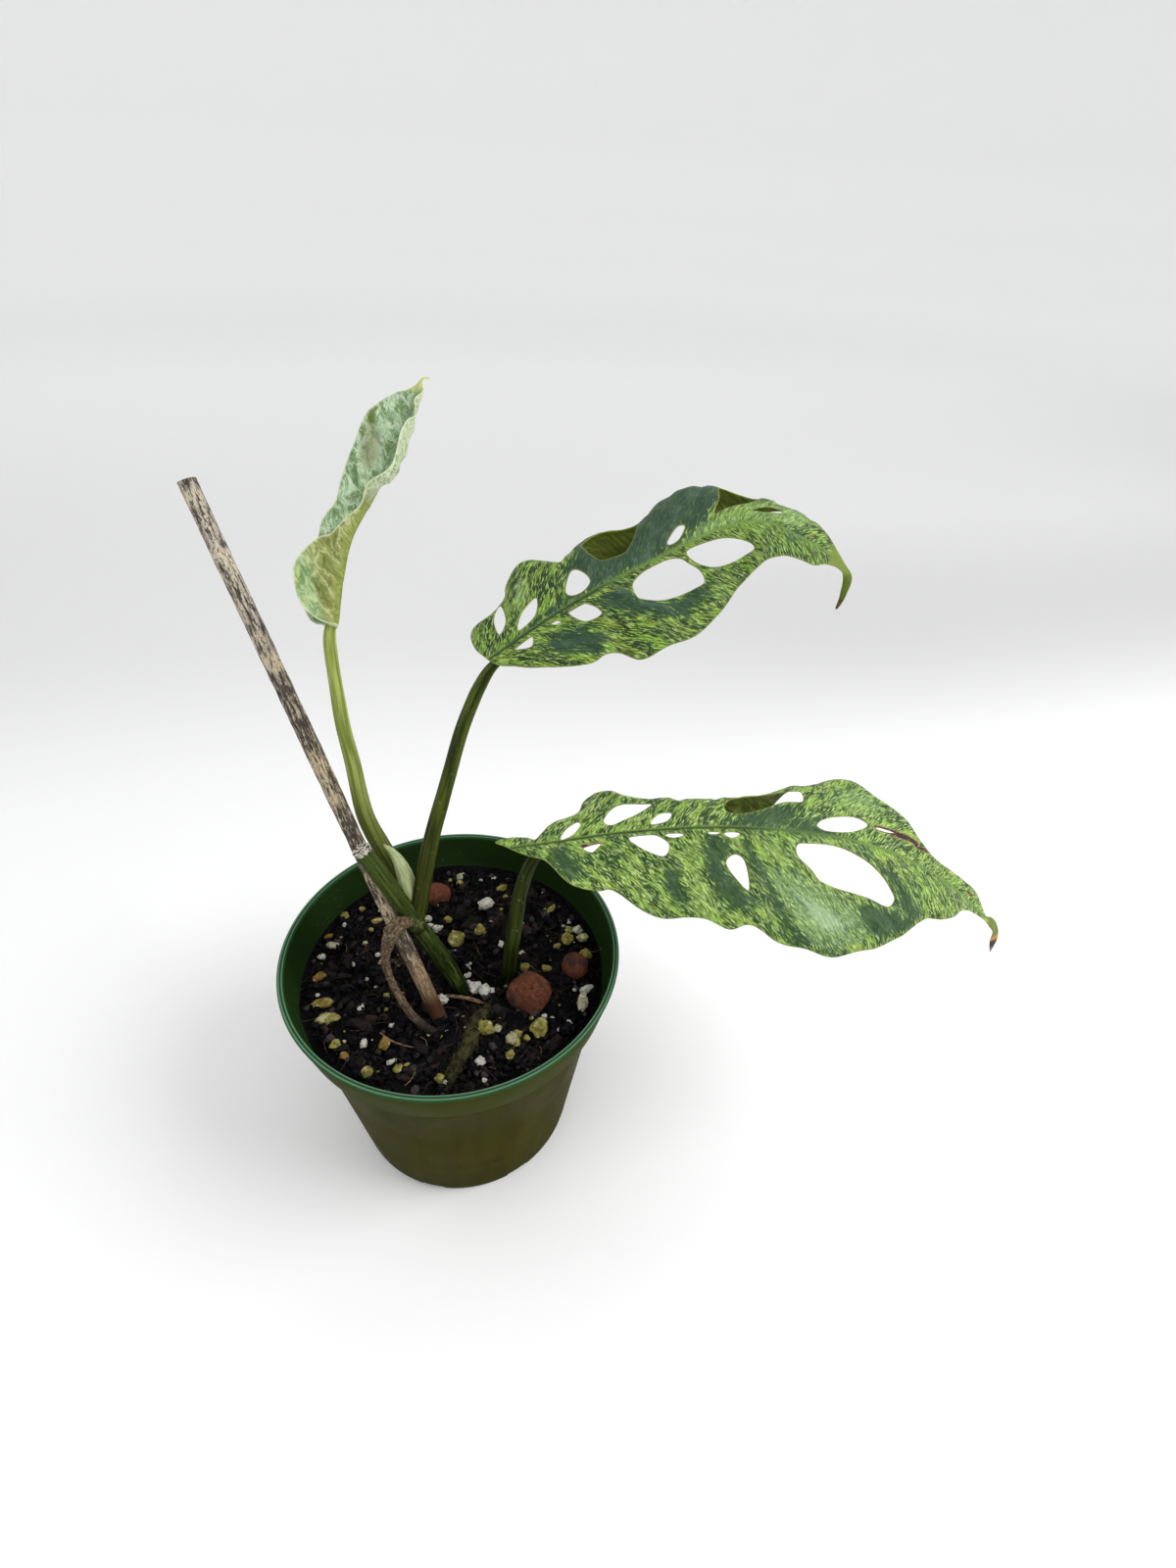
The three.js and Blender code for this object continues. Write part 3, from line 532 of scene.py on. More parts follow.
# Perlite and grit in the mix: white and cream grains, many stained yellow or orange by feed.
# Each has its place across the pot, its length and width in millimetres, its turn and its stain.
grains = [
    (-36, 30, 2.9, 2.6, 0, 0.6), (-30, 32, 2.2, 2, 0, 0.5), (-25, 26, 3.6, 2.2, 10, 0.6),
    (-27, 22, 1.8, 1.8, 0, 0.6), (-41, 21, 2.9, 2.2, 20, 0.9), (-43, 3, 4.6, 2.9, 30, 0.9),
    (-42, -7, 6.8, 3.2, 5, 0.75), (-40, -13, 7, 4.3, 0, 0.5), (-22, -8, 2.1, 2, 0, 0.6),
    (1.6, 12, 6.8, 5, 80, 0.6), (-0.5, 21.5, 2.9, 2.4, 0, 0.6), (5, 39, 2.9, 2.5, 0, 0.7),
    (1.6, 41.6, 1.4, 1.4, 0, 0.6), (-22.7, -26, 4.3, 3.2, 80, 0.85), (-37, -24, 3.2, 3, 0, 0.6),
    (-34.5, -28, 2.5, 2.3, 0, 0.9), (-27.7, -35, 3.2, 3, 0, 0.6), (-19, -35, 2.9, 2.6, 0, 0.6),
    (-16.5, -34.5, 1.8, 1.8, 0, 0.5), (-7.5, -40.7, 2.9, 2.7, 0, 0.6), (7.3, -26.5, 5, 4.6, 20, 0.6),
    (10.9, -26.7, 2.9, 2.6, 0, 0.35), (14.6, -31.2, 4.3, 3.2, 80, 0.35), (16.7, -29.7, 2.9, 2.6, 0, 0.6),
    (16.3, -32.5, 3.2, 1.8, 90, 0.6), (19.4, -31.4, 2, 2, 0, 0.6), (13.6, -36.7, 2.9, 2.7, 0, 0.6),
    (40.6, 9.4, 3.2, 3, 0, 0.6), (38.9, 4.3, 5, 4, 70, 0.6), (44, 3.4, 4, 3.5, 0, 0.4),
    (43.5, -3.9, 4.3, 3.8, 0, 0.6), (22.8, -5, 3.2, 3, 0, 0.6), (29.7, -7.1, 2.9, 2.7, 0, 0.6),
    (23.4, -29.2, 6.4, 5.7, 60, 0.6), (36, 20, 4.2, 2, 40, 0.5), (10, 13.5, 4.3, 3.6, 80, 0.55),
    (20, 34.7, 4, 2.5, 10, 0.6), (20.7, 29.3, 2.9, 1.8, 85, 0.6), (35.2, 2.9, 2.4, 2, 0, 0.5),
    (-28.7, 15, 1.8, 1.8, 0, 0.5), (-39.6, 16.8, 4.3, 2.5, -15, 0.3), (-43, 12.3, 2.5, 2.3, 0, 0.1),
    (-32.6, 6.9, 1.8, 1.8, 0, 0), (-24.6, 9.5, 1.8, 1.6, 0, 0.1), (-29.8, -11.8, 2.9, 1.8, 60, 0),
    (-4.9, -12.8, 3.6, 3, 0, 0), (-4.4, 18.3, 3.2, 2.8, 0, 0), (-6.8, 20.1, 2.1, 2, 0, 0.1),
    (-7.3, 23.4, 2.5, 2.4, 0, 0.2), (5.9, 42.2, 3.6, 3, 0, 0.3), (-36, 26, 1.4, 1.4, 0, 0),
    (-29, -24.2, 3.2, 2.1, 80, 0.1), (-21, -32, 3, 1.5, 20, 0.2), (-5.8, -41.9, 1.8, 1.8, 0, 0),
    (5.3, -43.5, 1.4, 1.4, 0, 0), (4.6, -37, 3.2, 3, 0, 0.05), (5.8, -9.8, 4.6, 4, 0, 0),
    (8.9, -12, 4.3, 3.8, 0, 0), (11.2, -12.6, 2.1, 2, 0, 0), (4.6, -0.2, 1.9, 1.8, 0, 0),
    (4.1, -2.2, 2, 1.9, 0, 0), (4, -4.6, 2.1, 2, 0, 0), (4.1, -7.2, 2.2, 2, 0, 0),
    (-20.7, -19.7, 1.5, 1.5, 0, 0.1), (43.5, 8.8, 3.2, 3, 0, 0), (39, 11.8, 1.4, 1.4, 0, 0),
    (22.9, 1.5, 2.1, 2, 0, 0), (41, -17, 4.6, 2.9, 10, 0.05), (38.8, -22, 7.8, 3.2, 75, 0.3),
    (33, -29, 2, 2, 0, 0.05), (25.8, -24.9, 1.8, 1.8, 0, 0), (13.4, 27, 5.7, 4.3, 15, 0.1),
    (16.3, 6.8, 3.2, 1.8, 85, 0.05),
]
grain_count = 190
while len(grains) < grain_count:
    x, y, _ = anywhere(45.5)
    size = rng.uniform(0.5, 1.5)
    grains.append((x, y, size, size * 0.85, 0, rng.choice([0, 0.1, 0.5, 0.7])))

places, corners, stains = [], [], []
begin_shape()
bpy.ops.mesh.primitive_ico_sphere_add(subdivisions=3, radius=1, location=(0, 0, 0))
pattern = bpy.context.object
ball = np.array([point.co for point in pattern.data.vertices])
ball_sides = np.array([side.vertices for side in pattern.data.polygons])
bpy.data.objects.remove(pattern)
for number, (x, y, long, wide, turn, stain) in enumerate(grains):
    tall = 0.8 * min(long, wide)
    apart = Vector((7 * number, 0, 0))
    lumpy = [1 + 0.42 * noise.fractal(Vector(p) * 1.1 + apart, 0.7, 2.1, 3) for p in ball]
    grain = ball * np.array(lumpy)[:, None] * (long / 2, wide / 2, tall / 2)
    corners.append(ball_sides + len(ball) * number)
    middle = (x, y, mix_height(x, y) + 0.32 * tall + 0.2)
    places.append(grain @ around_z(math.radians(turn)) + middle)
    stains += [stain] * len(ball)
corners = np.concatenate(corners).tolist()
perlite = mesh_piece("perlite_grains", np.concatenate(places), corners, stain=stains)
smooth_shade(perlite, 60)

perlite_stone = new_finish("perlite_stone", 0.75, Specular_IOR_Level=0.2)
spot = place()
pores = mottle(spot, 1500.0, 4.0)
blotch = mottle(spot, 420.0, 3.0)
stain = recorded("stain")
tone = coat((190, 188, 178), stain, 0.05, 0.55, (138, 132, 64))
tone = coat(tone, stain, 0.62, 0.95, (142, 98, 46))
moss_tint = maths("MULTIPLY", step(blotch, 0.5, 0.65), step(stain, 0.3, 0.6))
tone = mix(maths("MULTIPLY", moss_tint, 0.8), tone, (92, 88, 26))
bleached = maths("MULTIPLY", step(blotch, 0.44, 0.34), 0.6)
tone = mix(bleached, tone, (214, 208, 170))
tone = coat(tone, pores, 0.34, 0.5, (70, 60, 34), 0.75, 0.0)
into("Base Color", tone)
emboss(pores, 0.8, 0.0003)
stand_for(perlite, perlite_stone, "potting_mix")

# Baked clay pebbles lying in the mix: rough, matt and red-brown, with dark grey patches.
# Each is a ball with its surface pushed in and out into lumps and pits.
clay = new_finish("baked_clay", 0.88, Specular_IOR_Level=0.2)
spot = place()
pits = mottle(spot, 900.0, 6.0, 0.7)
patch = mottle(spot, 170.0, 3.0)
tone = coat((78, 40, 26), pits, 0.35, 0.65, (112, 66, 46))
tone = coat(tone, patch, 0.54, 0.62, (48, 40, 40), 0.0, 0.8)
into("Base Color", coat(tone, pits, 0.3, 0.4, (26, 15, 12), 0.8, 0.0))
emboss(pits, 1.0, 0.0005)

pebbles = [(22.4, -16.6, 14), (39.2, -8.1, 9.5), (-3.3, 33.3, 9)]
for number, (x, y, size) in enumerate(pebbles, 1):
    begin_shape()
    bpy.ops.mesh.primitive_ico_sphere_add(subdivisions=6, radius=size / 2 * mm, location=(0, 0, 0))
    pebble = bpy.context.object
    pebble.name = f"clay_ball_{number}"
    for point in pebble.data.vertices:
        px, py, pz = point.co / mm
        lump = 1 + 0.05 * math.sin(0.7 * px + number) + 0.05 * math.cos(0.6 * py - 0.5 * pz + 2 * number)
        at = Vector((px, py, pz + 20 * number))
        lump += 0.035 * noise.fractal(at * 0.45, 0.8, 2.0, 5) - 0.03 * max(0, noise.noise(at * 0.9) - 0.25)
        level = mix_height(x, y) + 0.2 * size
        point.co = Vector((x + px * lump, y + py * lump * 0.94, level + pz * lump * 0.86)) * mm
    smooth_shade(pebble, 60)
    stand_for(pebble, clay, "baked_clay", f"clay_pebble_{number}")

# Stake: a straight peeled twig, pale wood with dark remains of bark, cut square, pushed into the mix.
# It starts as a cylinder cut into rings, which gets its swellings and is bent along a line.
def along(values, share):
    """A smooth value at a share of the way along a list of evenly spaced values."""
    if len(values) == 1:
        return np.full(np.shape(share), float(values[0]))
    line = smooth_line([[value] for value in values], False, 24)[:, 0]
    return np.interp(share, np.linspace(0, 1, len(line)), line)


def smooth_line(knots, closed, fine):
    """Points on the smooth curve through the knots, fine of them from each knot to the next."""
    knots = np.array(knots, float)
    if closed:
        a, b, c, d = np.roll(knots, 1, 0), knots, np.roll(knots, -1, 0), np.roll(knots, -2, 0)
    else:
        run = np.vstack([2 * knots[0] - knots[1], knots, 2 * knots[-1] - knots[-2]])
        a, b, c, d = run[:-3], run[1:-2], run[2:-1], run[3:]
    t = (np.arange(fine) / fine)[:, None, None]
    line = b + 0.5 * t * (c - a + t * (2 * a - 5 * b + 4 * c - d + t * (3 * (b - c) + d - a)))
    line = line.transpose(1, 0, 2).reshape(-1, knots.shape[1])
    return line if closed else np.vstack([line, knots[-1:]])


def bent_rod(name, knots, radii, sides, ring_step, relief):
    """A rod bent along the smooth line through the knots. relief(run, angle) adds to its radius.

    The attribute grain keeps every point's place on the straight rod, in millimetres, run first.
    """
    begin_shape()
    bpy.ops.curve.primitive_bezier_curve_add(location=(0, 0, 0))
    guide = bpy.context.object
    guide.data.twist_mode = "MINIMUM"
    guide.data.resolution_u = 24
    spline = guide.data.splines[0]
    spline.bezier_points.add(len(knots) - 2)
    knots = [Vector(knot) * mm for knot in knots]
    before = [2 * knots[0] - knots[1]] + knots[:-1]
    after = knots[1:] + [2 * knots[-1] - knots[-2]]
    for bezier, knot, last, following in zip(spline.bezier_points, knots, before, after):
        bezier.handle_left_type = bezier.handle_right_type = "FREE"
        bezier.co = knot
        bezier.handle_left = knot - (following - last) / 6
        bezier.handle_right = knot + (following - last) / 6
    length = spline.calc_length()

    begin_shape()
    bpy.ops.mesh.primitive_cylinder_add(
        vertices=sides, radius=mm, depth=length, location=(length / 2, 0, 0), rotation=(0, math.pi / 2, 0))
    rod = bpy.context.object
    rod.name = name
    settle()
    edit_mode(True)
    bpy.ops.mesh.select_all(action="DESELECT")
    edit_mode(False)
    for edge in rod.data.edges:
        ends = [rod.data.vertices[i].co.x for i in edge.vertices]
        edge.select = abs(ends[0] - ends[1]) > length / 2
    edit_mode(True)
    rings = max(2, round(length / mm / ring_step))
    bpy.ops.mesh.subdivide(number_cuts=rings)
    edit_mode(False)

    straight = []
    runs = np.array([point.co.x for point in rod.data.vertices]) / mm
    for point, run, thickness in zip(rod.data.vertices, runs, along(radii, runs / (length / mm))):
        angle = math.atan2(point.co.z, point.co.y)
        radius = thickness + relief(run, angle)
        point.co.y = radius * math.cos(angle) * mm
        point.co.z = radius * math.sin(angle) * mm
        straight += [run, radius * math.cos(angle), radius * math.sin(angle)]
    rod.data.attributes.new("grain", "FLOAT_VECTOR", "POINT").data.foreach_set("vector", straight)
    bend = rod.modifiers.new("bend", "CURVE")
    bend.object = guide
    bpy.ops.object.modifier_apply(modifier="bend")
    bpy.data.objects.remove(guide)
    smooth_shade(rod, 50)
    return rod


def round_about(run, angle, pace, reach=1):
    """A place on a rod's skin for noise: pace is how fast it moves along the rod, reach around it."""
    return Vector((run * pace, reach * math.cos(angle), reach * math.sin(angle)))


def stake_relief(run, angle):
    ridges = 0.12 * noise.noise(round_about(run, angle, 0.05, 2.2))
    knots = 0.16 * noise.noise(round_about(run, angle, 0.35, 1.3))
    return ridges + knots


def rod_marks():
    """Each point's place on the straight rod, and how far along the rod it is."""
    straight = recorded("grain", "Vector")
    return straight, axis_of(straight, "X")


def swing(value, size):
    """A cloudy value as a push to either side, of this size."""
    return maths("MULTIPLY", maths("SUBTRACT", value, 0.5), size)


stake_radius = 2.35
stake_radii = [stake_radius * share for share in (0.96, 1.02, 0.98, 1.04, 0.97, 1.02, 0.99, 1)]
stake = bent_rod("stake_twig", [(6.4, -35, 33.8), (-52.9, 44.4, 219)], stake_radii, 32, 0.9, stake_relief)

twig_wood = new_finish("grey_twig", 0.85, Specular_IOR_Level=0.25)
straight, run = rod_marks()
long_spot = stretched(straight, 0.12, 1.6, 1.6)
fleck_spot = stretched(straight, 0.26, 1.3, 1.3)
pit_spot = stretched(straight, 1.1, 2.8, 2.8)
fibres = mottle(long_spot, 1.4, 4.0)
flecks = mottle(fleck_spot, 1.0, 5.0, 0.7)
pits = mottle(pit_spot, 1.0, 3.0)
patches = mottle(straight, 0.14, 2.0)
tone = coat((112, 99, 84), fibres, 0.4, 0.6, (184, 170, 146))
tone = coat(tone, patches, 0.46, 0.6, (206, 187, 152), 0.0, 0.6)
tone = coat(tone, fibres, 0.62, 0.7, (222, 213, 194), 0.0, 0.6)
# Towards its top the stake turns paler and keeps fewer dark flecks of bark. This is painted light, with its
# lower part left in painted shade. The rest of the flecking is bark left on the wood.
tone = coat(tone, run, 130, 185, (222, 214, 200), 0.0, 0.4)
peeled_and_top_lit = maths("ADD", swing(patches, 0.3), step(run, 110, 180, 0.0, 0.03))
bark_left = maths("SUBTRACT", flecks, peeled_and_top_lit)
tone = coat(tone, bark_left, 0.46, 0.53, (50, 43, 39), 0.0, 0.88)
tone = coat(tone, pits, 0.55, 0.62, (46, 38, 34), 0.0, 0.75)
tone = coat(tone, run, 60, 74, (120, 92, 62), 0.6, 0.0)
tone = coat(tone, run, 50, 55, (68, 37, 20), 0.95, 0.0)
into("Base Color", tone)
height = maths("SUBTRACT", fibres, maths("MULTIPLY", flecks, 0.6))
emboss(height, 0.8, 0.0003)
stand_for(stake, twig_wood, "stake_wood", "stake")

# Main stem: a dark green living stem, rooted in the mix, that leans to a ringed node.
# It was cut above the node, and its end has dried to a pale callus.
def swelling(run, middle, width):
    """A smooth swelling: 1 at its middle, fading to both sides over this width."""
    return math.exp(-((run - middle) / width) ** 2)


def stem_relief(run, angle):
    ring = 0.25 * swelling(run, 58.2, 0.7) - 0.2 * swelling(run, 56.8, 0.6)
    ring += 0.14 * swelling(run, 72, 0.7) + 0.1 * swelling(run, 42, 0.7)
    ring += 0.22 * swelling(run, 90.6, 0.6) * (1 + noise.noise(Vector((2 * angle, run, 4))))
    lines = 0.05 * math.cos(11 * angle + 0.05 * run)
    return ring + lines + 0.14 * noise.noise(round_about(run, angle, 0.12, 1.2))


stem_line = [(9, -12, 48), (1.8, -9.5, 73.5), (-10, -5.3, 103.5), (-22.2, -2.2, 132.6)]
stem_radii = [2.4, 2.5, 2.5, 2.6, 2.9, 2.5, 2.5, 2.6, 2.4]
stem = bent_rod("stem_body", stem_line, stem_radii, 36, 0.6, stem_relief)

stem_skin = new_finish("stem_skin", 0.5, Specular_IOR_Level=0.1)
straight, run = rod_marks()
long_spot = stretched(straight, 0.08, 1.3, 1.3)
lines = mottle(long_spot, 1.2, 4.0)
scurf = mottle(straight, 1.1, 4.0)
tone = coat((14, 25, 5), run, 28, 62, (46, 60, 16))
tone = coat(tone, run, 62, 84, (64, 76, 26), 0.0, 0.6)
tone = coat(tone, lines, 0.52, 0.66, (76, 90, 34), 0.0, 0.7)
tone = coat(tone, lines, 0.34, 0.45, (12, 22, 5), 0.75, 0.0)
ring = maths("SUBTRACT", step(run, 55.8, 56.6), step(run, 57.2, 58))
tone = mix(maths("MULTIPLY", ring, 0.85), tone, (34, 26, 14))
band = maths("SUBTRACT", step(run, 58, 58.6), step(run, 60.5, 62))
scar = maths("MULTIPLY", step(scurf, 0.5, 0.6), maths("MULTIPLY", band, 0.8))
tone = mix(scar, tone, (98, 94, 66))
tone = coat(tone, scurf, 0.62, 0.7, (110, 108, 70), 0.0, 0.4)
callus = coat((70, 62, 52), scurf, 0.42, 0.56, (196, 192, 180))
tone = coat(tone, run, 89.3, 89.9, callus)
into("Base Color", tone)
emboss(lines, 0.5, 0.0003)
stand_for(stem, stem_skin, "stem", "main_stem")

# Aerial root: corky and wrinkled, grown from a knotty head at the stem's node.
# It runs down past the front of the stake and into the mix.
def root_relief(run, angle):
    wrinkle = 0.2 * noise.fractal(round_about(run, angle, 0.9), 0.8, 2.0, 3)
    lumps = 0.6 + noise.noise(Vector((run * 0.5, 3 * math.cos(angle), 5)))
    return wrinkle + 0.8 * swelling(run, 6, 3.4) * lumps - 0.35 * swelling(run, 1, 2)


root_line = [
    (-11.5, -6.5, 106.5), (-16, -9.8, 106.8), (-19.6, -12.8, 99), (-18.8, -15, 89.5),
    (-14.9, -19.5, 80.5), (-11, -22.5, 76), (-7, -24.4, 72.6), (-3.5, -27.5, 65),
]
root_radii = [2.2, 2, 1.3, 1.15, 1.2, 1.3, 1.3, 1.1]
root = bent_rod("air_root", root_line, root_radii, 24, 0.4, root_relief)

root_cork = new_finish("root_cork", 0.8, Specular_IOR_Level=0.2)
straight, run = rod_marks()
cork = mottle(straight, 1.5, 5.0)
tone = coat((56, 44, 32), cork, 0.35, 0.65, (118, 100, 78))
tone = coat(tone, run, 34, 44, (24, 18, 15), 0.0, 0.92)
tone = coat(tone, cork, 0.64, 0.72, (146, 132, 108), 0.0, 0.7)
into("Base Color", tone)
emboss(cork, 0.9, 0.0004)
stand_for(root, root_cork, "root", "aerial_root")

# Sheath: a pale papery scale at the node that once wrapped the young leaf.
# It is ribbed, open down one side, and brown at its tip.
def sheath_relief(run, angle):
    flat = 0.55 * math.cos(angle - 0.2) ** 2 * math.sin(math.pi * min(1, run / 25))
    opening = -0.6 * swelling(angle, -2.4, 0.35)
    ribs = 0.025 * math.cos(18 * angle)
    return flat + opening + ribs + 0.1 * noise.noise(round_about(run, angle, 0.2))


sheath_line = [
    (-10.6, -3.4, 106), (-11, 0, 112.5), (-12.2, 2.2, 119.5), (-14.2, 3.2, 125), (-16.4, 3.4, 128.5),
]
sheath_radii = [1.8, 2.15, 1.8, 1.15, 0.25]
sheath = bent_rod("stem_sheath", sheath_line, sheath_radii, 64, 0.4, sheath_relief)

dry_sheath = new_finish("papery_sheath", 0.5, Specular_IOR_Level=0.3)
straight, run = rod_marks()
long_spot = stretched(straight, 0.1, 2, 2)
lines = mottle(long_spot, 1.3, 3.0)
tone = coat((166, 178, 120), lines, 0.4, 0.62, (200, 206, 162))
tone = coat(tone, run, 1, 8, (110, 132, 56), 0.5, 0.0)
into("Base Color", coat(tone, run, 23.5, 26, (96, 62, 34)))
emboss(lines, 0.6, 0.0002)
stand_for(sheath, dry_sheath, "sheath", "sheath")

# Leaf stalks: firm, satin green, each with a channel along one side and fine lengthwise ribs.
# The first carries the young leaf, the second the middle leaf, and the third comes out of the mix.
# The stalks are lit and shaded copies of one skin. The third's deep greens, and in part the second's, are
# painted shade low among the leaves, and each stalk darkens towards its foot in painted shade.
stalk_forms = {
    "1": {
        "line": [
            (-10.4, -3, 104.5), (-11.4, 1.8, 109), (-14.2, 5.7, 115.5), (-17.9, 8.7, 124),
            (-21.1, 12, 133.6), (-22.2, 14.8, 149.6), (-23.1, 15.9, 162), (-23.3, 18.2, 173),
            (-23.3, 19.5, 181), (-22.9, 20.2, 186.5), (-21.8, 22.6, 190.2), (-20.6, 25.6, 193.4),
        ],
        "radii": [3.1, 3, 2.8, 2.6, 2.4, 2.2, 2, 1.9, 1.7, 1.6, 0.9],
        "light": (164, 174, 94), "deep": (112, 126, 54), "foot": (52, 58, 12), "foot_shade_end": 64,
        "channel": 2.2, "depth": 0.3,
    },
    "2": {
        "line": [
            (-10.2, -5, 104), (-8.4, -3, 109), (-3.2, 1.9, 128.4), (2.9, 3.5, 148.1), (7.8, 2.7, 165.4),
            (11.4, 0.9, 176.2), (13.6, -1.2, 182.4), (15.4, -2.6, 186.4), (17.4, -2.9, 188.8),
            (21, -1.9, 191.2),
        ],
        "radii": [2.6, 2.5, 2.3, 2.1, 1.9, 1.8, 1.6, 0.8],
        "light": (78, 90, 26), "deep": (32, 44, 8), "foot": (42, 46, 7), "foot_shade_end": 52,
        "channel": 2.6, "depth": 0.45,
    },
    "3": {
        "line": [
            (16, -6.4, 50), (17.3, -6.8, 73.5), (17.8, -12.2, 95), (19.5, -9.9, 103), (21.5, -6.2, 111),
            (24.3, -3.2, 117.2), (27.3, -1, 120.9), (30, -0.3, 122.6), (35.5, -0.8, 124.6),
        ],
        "radii": [2.5, 2.5, 2.45, 2.4, 2.3, 2, 0.9],
        "light": (50, 60, 10), "deep": (18, 27, 3), "foot": (18, 24, 3), "foot_shade_end": 62,
        "channel": -1.2, "depth": 0.5,
    },
}
for name, form in stalk_forms.items():
    def stalk_relief(run, angle):
        turn = (angle - form["channel"] + math.pi) % (2 * math.pi) - math.pi
        channel = -form["depth"] * swelling(turn, 0, 0.42)
        ribs = 0.04 * math.cos(16 * angle)
        return channel + ribs + 0.08 * noise.noise(round_about(run, angle, 0.1))

    stalk = bent_rod(f"leaf_stalk_{name}", form["line"], form["radii"], 64, 1.0, stalk_relief)
    skin = new_finish(f"stalk_skin_{name}", 0.42, Specular_IOR_Level=0.1)
    straight, run = rod_marks()
    long_spot = stretched(straight, 0.04, 1, 1)
    lines = mottle(long_spot, 1.1, 4.0)
    spots = mottle(straight, 0.7, 4.0)
    tone = coat(form["deep"], lines, 0.36, 0.62, form["light"])
    # Painted shade: darker towards the stalk's foot.
    tone = coat(tone, run, 12, form["foot_shade_end"], form["foot"], 0.75, 0.0)
    pale_spots = step(spots, 0.64, 0.72, 0.0, 0.2)
    into("Base Color", mix(pale_spots, tone, (176, 182, 122)))
    into("Roughness", step(spots, 0.3, 0.7, 0.36, 0.52))
    emboss(lines, 0.4, 0.0002)
    stand_for(stalk, skin, "petiole", f"petiole_{name}")

# Litter on the mix: a low ridge of old moss in front, a snapped twig by the stem and a dry root fibre.
# The ridge is a lumpy rod half sunk in the mix, grown over with short tufts of moss.
moss_path = [(-6, -44), (-3.6, -38.8), (-0.9, -34.4), (2.5, -28.9), (6.2, -21.8), (9.7, -18)]


def moss_relief(run, angle):
    return 0.7 * noise.fractal(round_about(run, angle, 0.35, 1.5), 0.8, 2.0, 4)


ridge_line = [(x, y, mix_height(x, y) + 0.1) for x, y in moss_path]
ridge = bent_rod("moss_ridge", ridge_line, [0.7, 1.8, 2.3, 2.5, 2.4, 1.1], 20, 0.6, moss_relief)
path = smooth_line(moss_path, False, 20)
tuft_count = 900
tuft_corners, tuft_sides = [], []
for number in range(tuft_count):
    x, y = path[rng.integers(len(path))] + rng.normal(0, 1.8, 2)
    root_height = mix_height(x, y) + rng.uniform(0.5, 1.5)
    lean_x, lean_y = rng.uniform(-0.8, 0.8, 2)
    thick = rng.uniform(0.07, 0.14)
    for turn in (0, 2.1, 4.2):
        tuft_corners.append((x + thick * math.cos(turn), y + thick * math.sin(turn), root_height))
    tuft_corners.append((x + lean_x, y + lean_y, root_height + rng.uniform(0.4, 1.3)))
    first = 4 * number
    for side in ((0, 2, 1), (0, 1, 3), (1, 2, 3), (2, 0, 3)):
        tuft_sides.append([first + corner for corner in side])
tufts = mesh_piece("moss_tufts", tuft_corners, tuft_sides)
moss = new_finish("old_moss", 0.9, Specular_IOR_Level=0.15)
spot = place()
clumps = mottle(spot, 500.0, 4.0)
fine = mottle(spot, 1700.0, 3.0)
tone = coat((28, 28, 14), clumps, 0.4, 0.6, (64, 62, 34))
tone = coat(tone, fine, 0.56, 0.66, (78, 76, 44), 0.0, 0.7)
into("Base Color", tone)
emboss(fine, 1.0, 0.0006)
stand_for(ridge, moss, "potting_mix")
stand_for(tufts, moss, "potting_mix")


def snapped_relief(run, angle):
    return 0.12 * noise.noise(round_about(run, angle, 1.1))


twig_line = [(-4.2, -11.6, 75), (1, -13.6, 75.6), (4.5, -15, 75.3), (7.8, -16.6, 74.8)]
twig = bent_rod("snapped_twig", twig_line, [0.3, 0.55, 0.5, 0.65, 0.35], 12, 0.5, snapped_relief)
fibre_line = [(-24, -22, 75.4), (-20.7, -25.9, 75.9), (-16.5, -28.3, 75.8), (-12.2, -29.6, 75.2)]
fibre = bent_rod("root_fibre", fibre_line, [0.14, 0.24, 0.26, 0.2, 0.12], 8, 0.6, snapped_relief)
dry_litter = new_finish("dry_litter", 0.8, Specular_IOR_Level=0.2)
straight = recorded("grain", "Vector")
long_spot = stretched(straight, 0.5, 3, 3)
bark_lines = mottle(long_spot, 1.2, 3.0)
tone = coat((74, 54, 40), bark_lines, 0.4, 0.6, (140, 116, 92))
into("Base Color", tone)
emboss(bark_lines, 0.6, 0.0002)
for piece in (twig, fibre):
    stand_for(piece, dry_litter, "potting_mix")

# Middle leaf: a thin blade with a far edge rolled down, marbled in greens, with a plain dark sector.
# It is laid out flat, cut to its edge and oval windows, then bent into place and given two faces.
# Veins leave the midrib on both sides. The skin is quilted between them and its flecks follow them.
blade_thickness = 0.5


def at_runs(stops, run, line):
    """Places at the stops along a line whose points have these runs."""
    return np.stack([np.interp(stops, run, column) for column in line.T], -1)


def run_along(line):
    """How far along a line each of its points is."""
    return np.concatenate([[0], np.cumsum(np.linalg.norm(np.diff(line, axis=0), axis=1))])


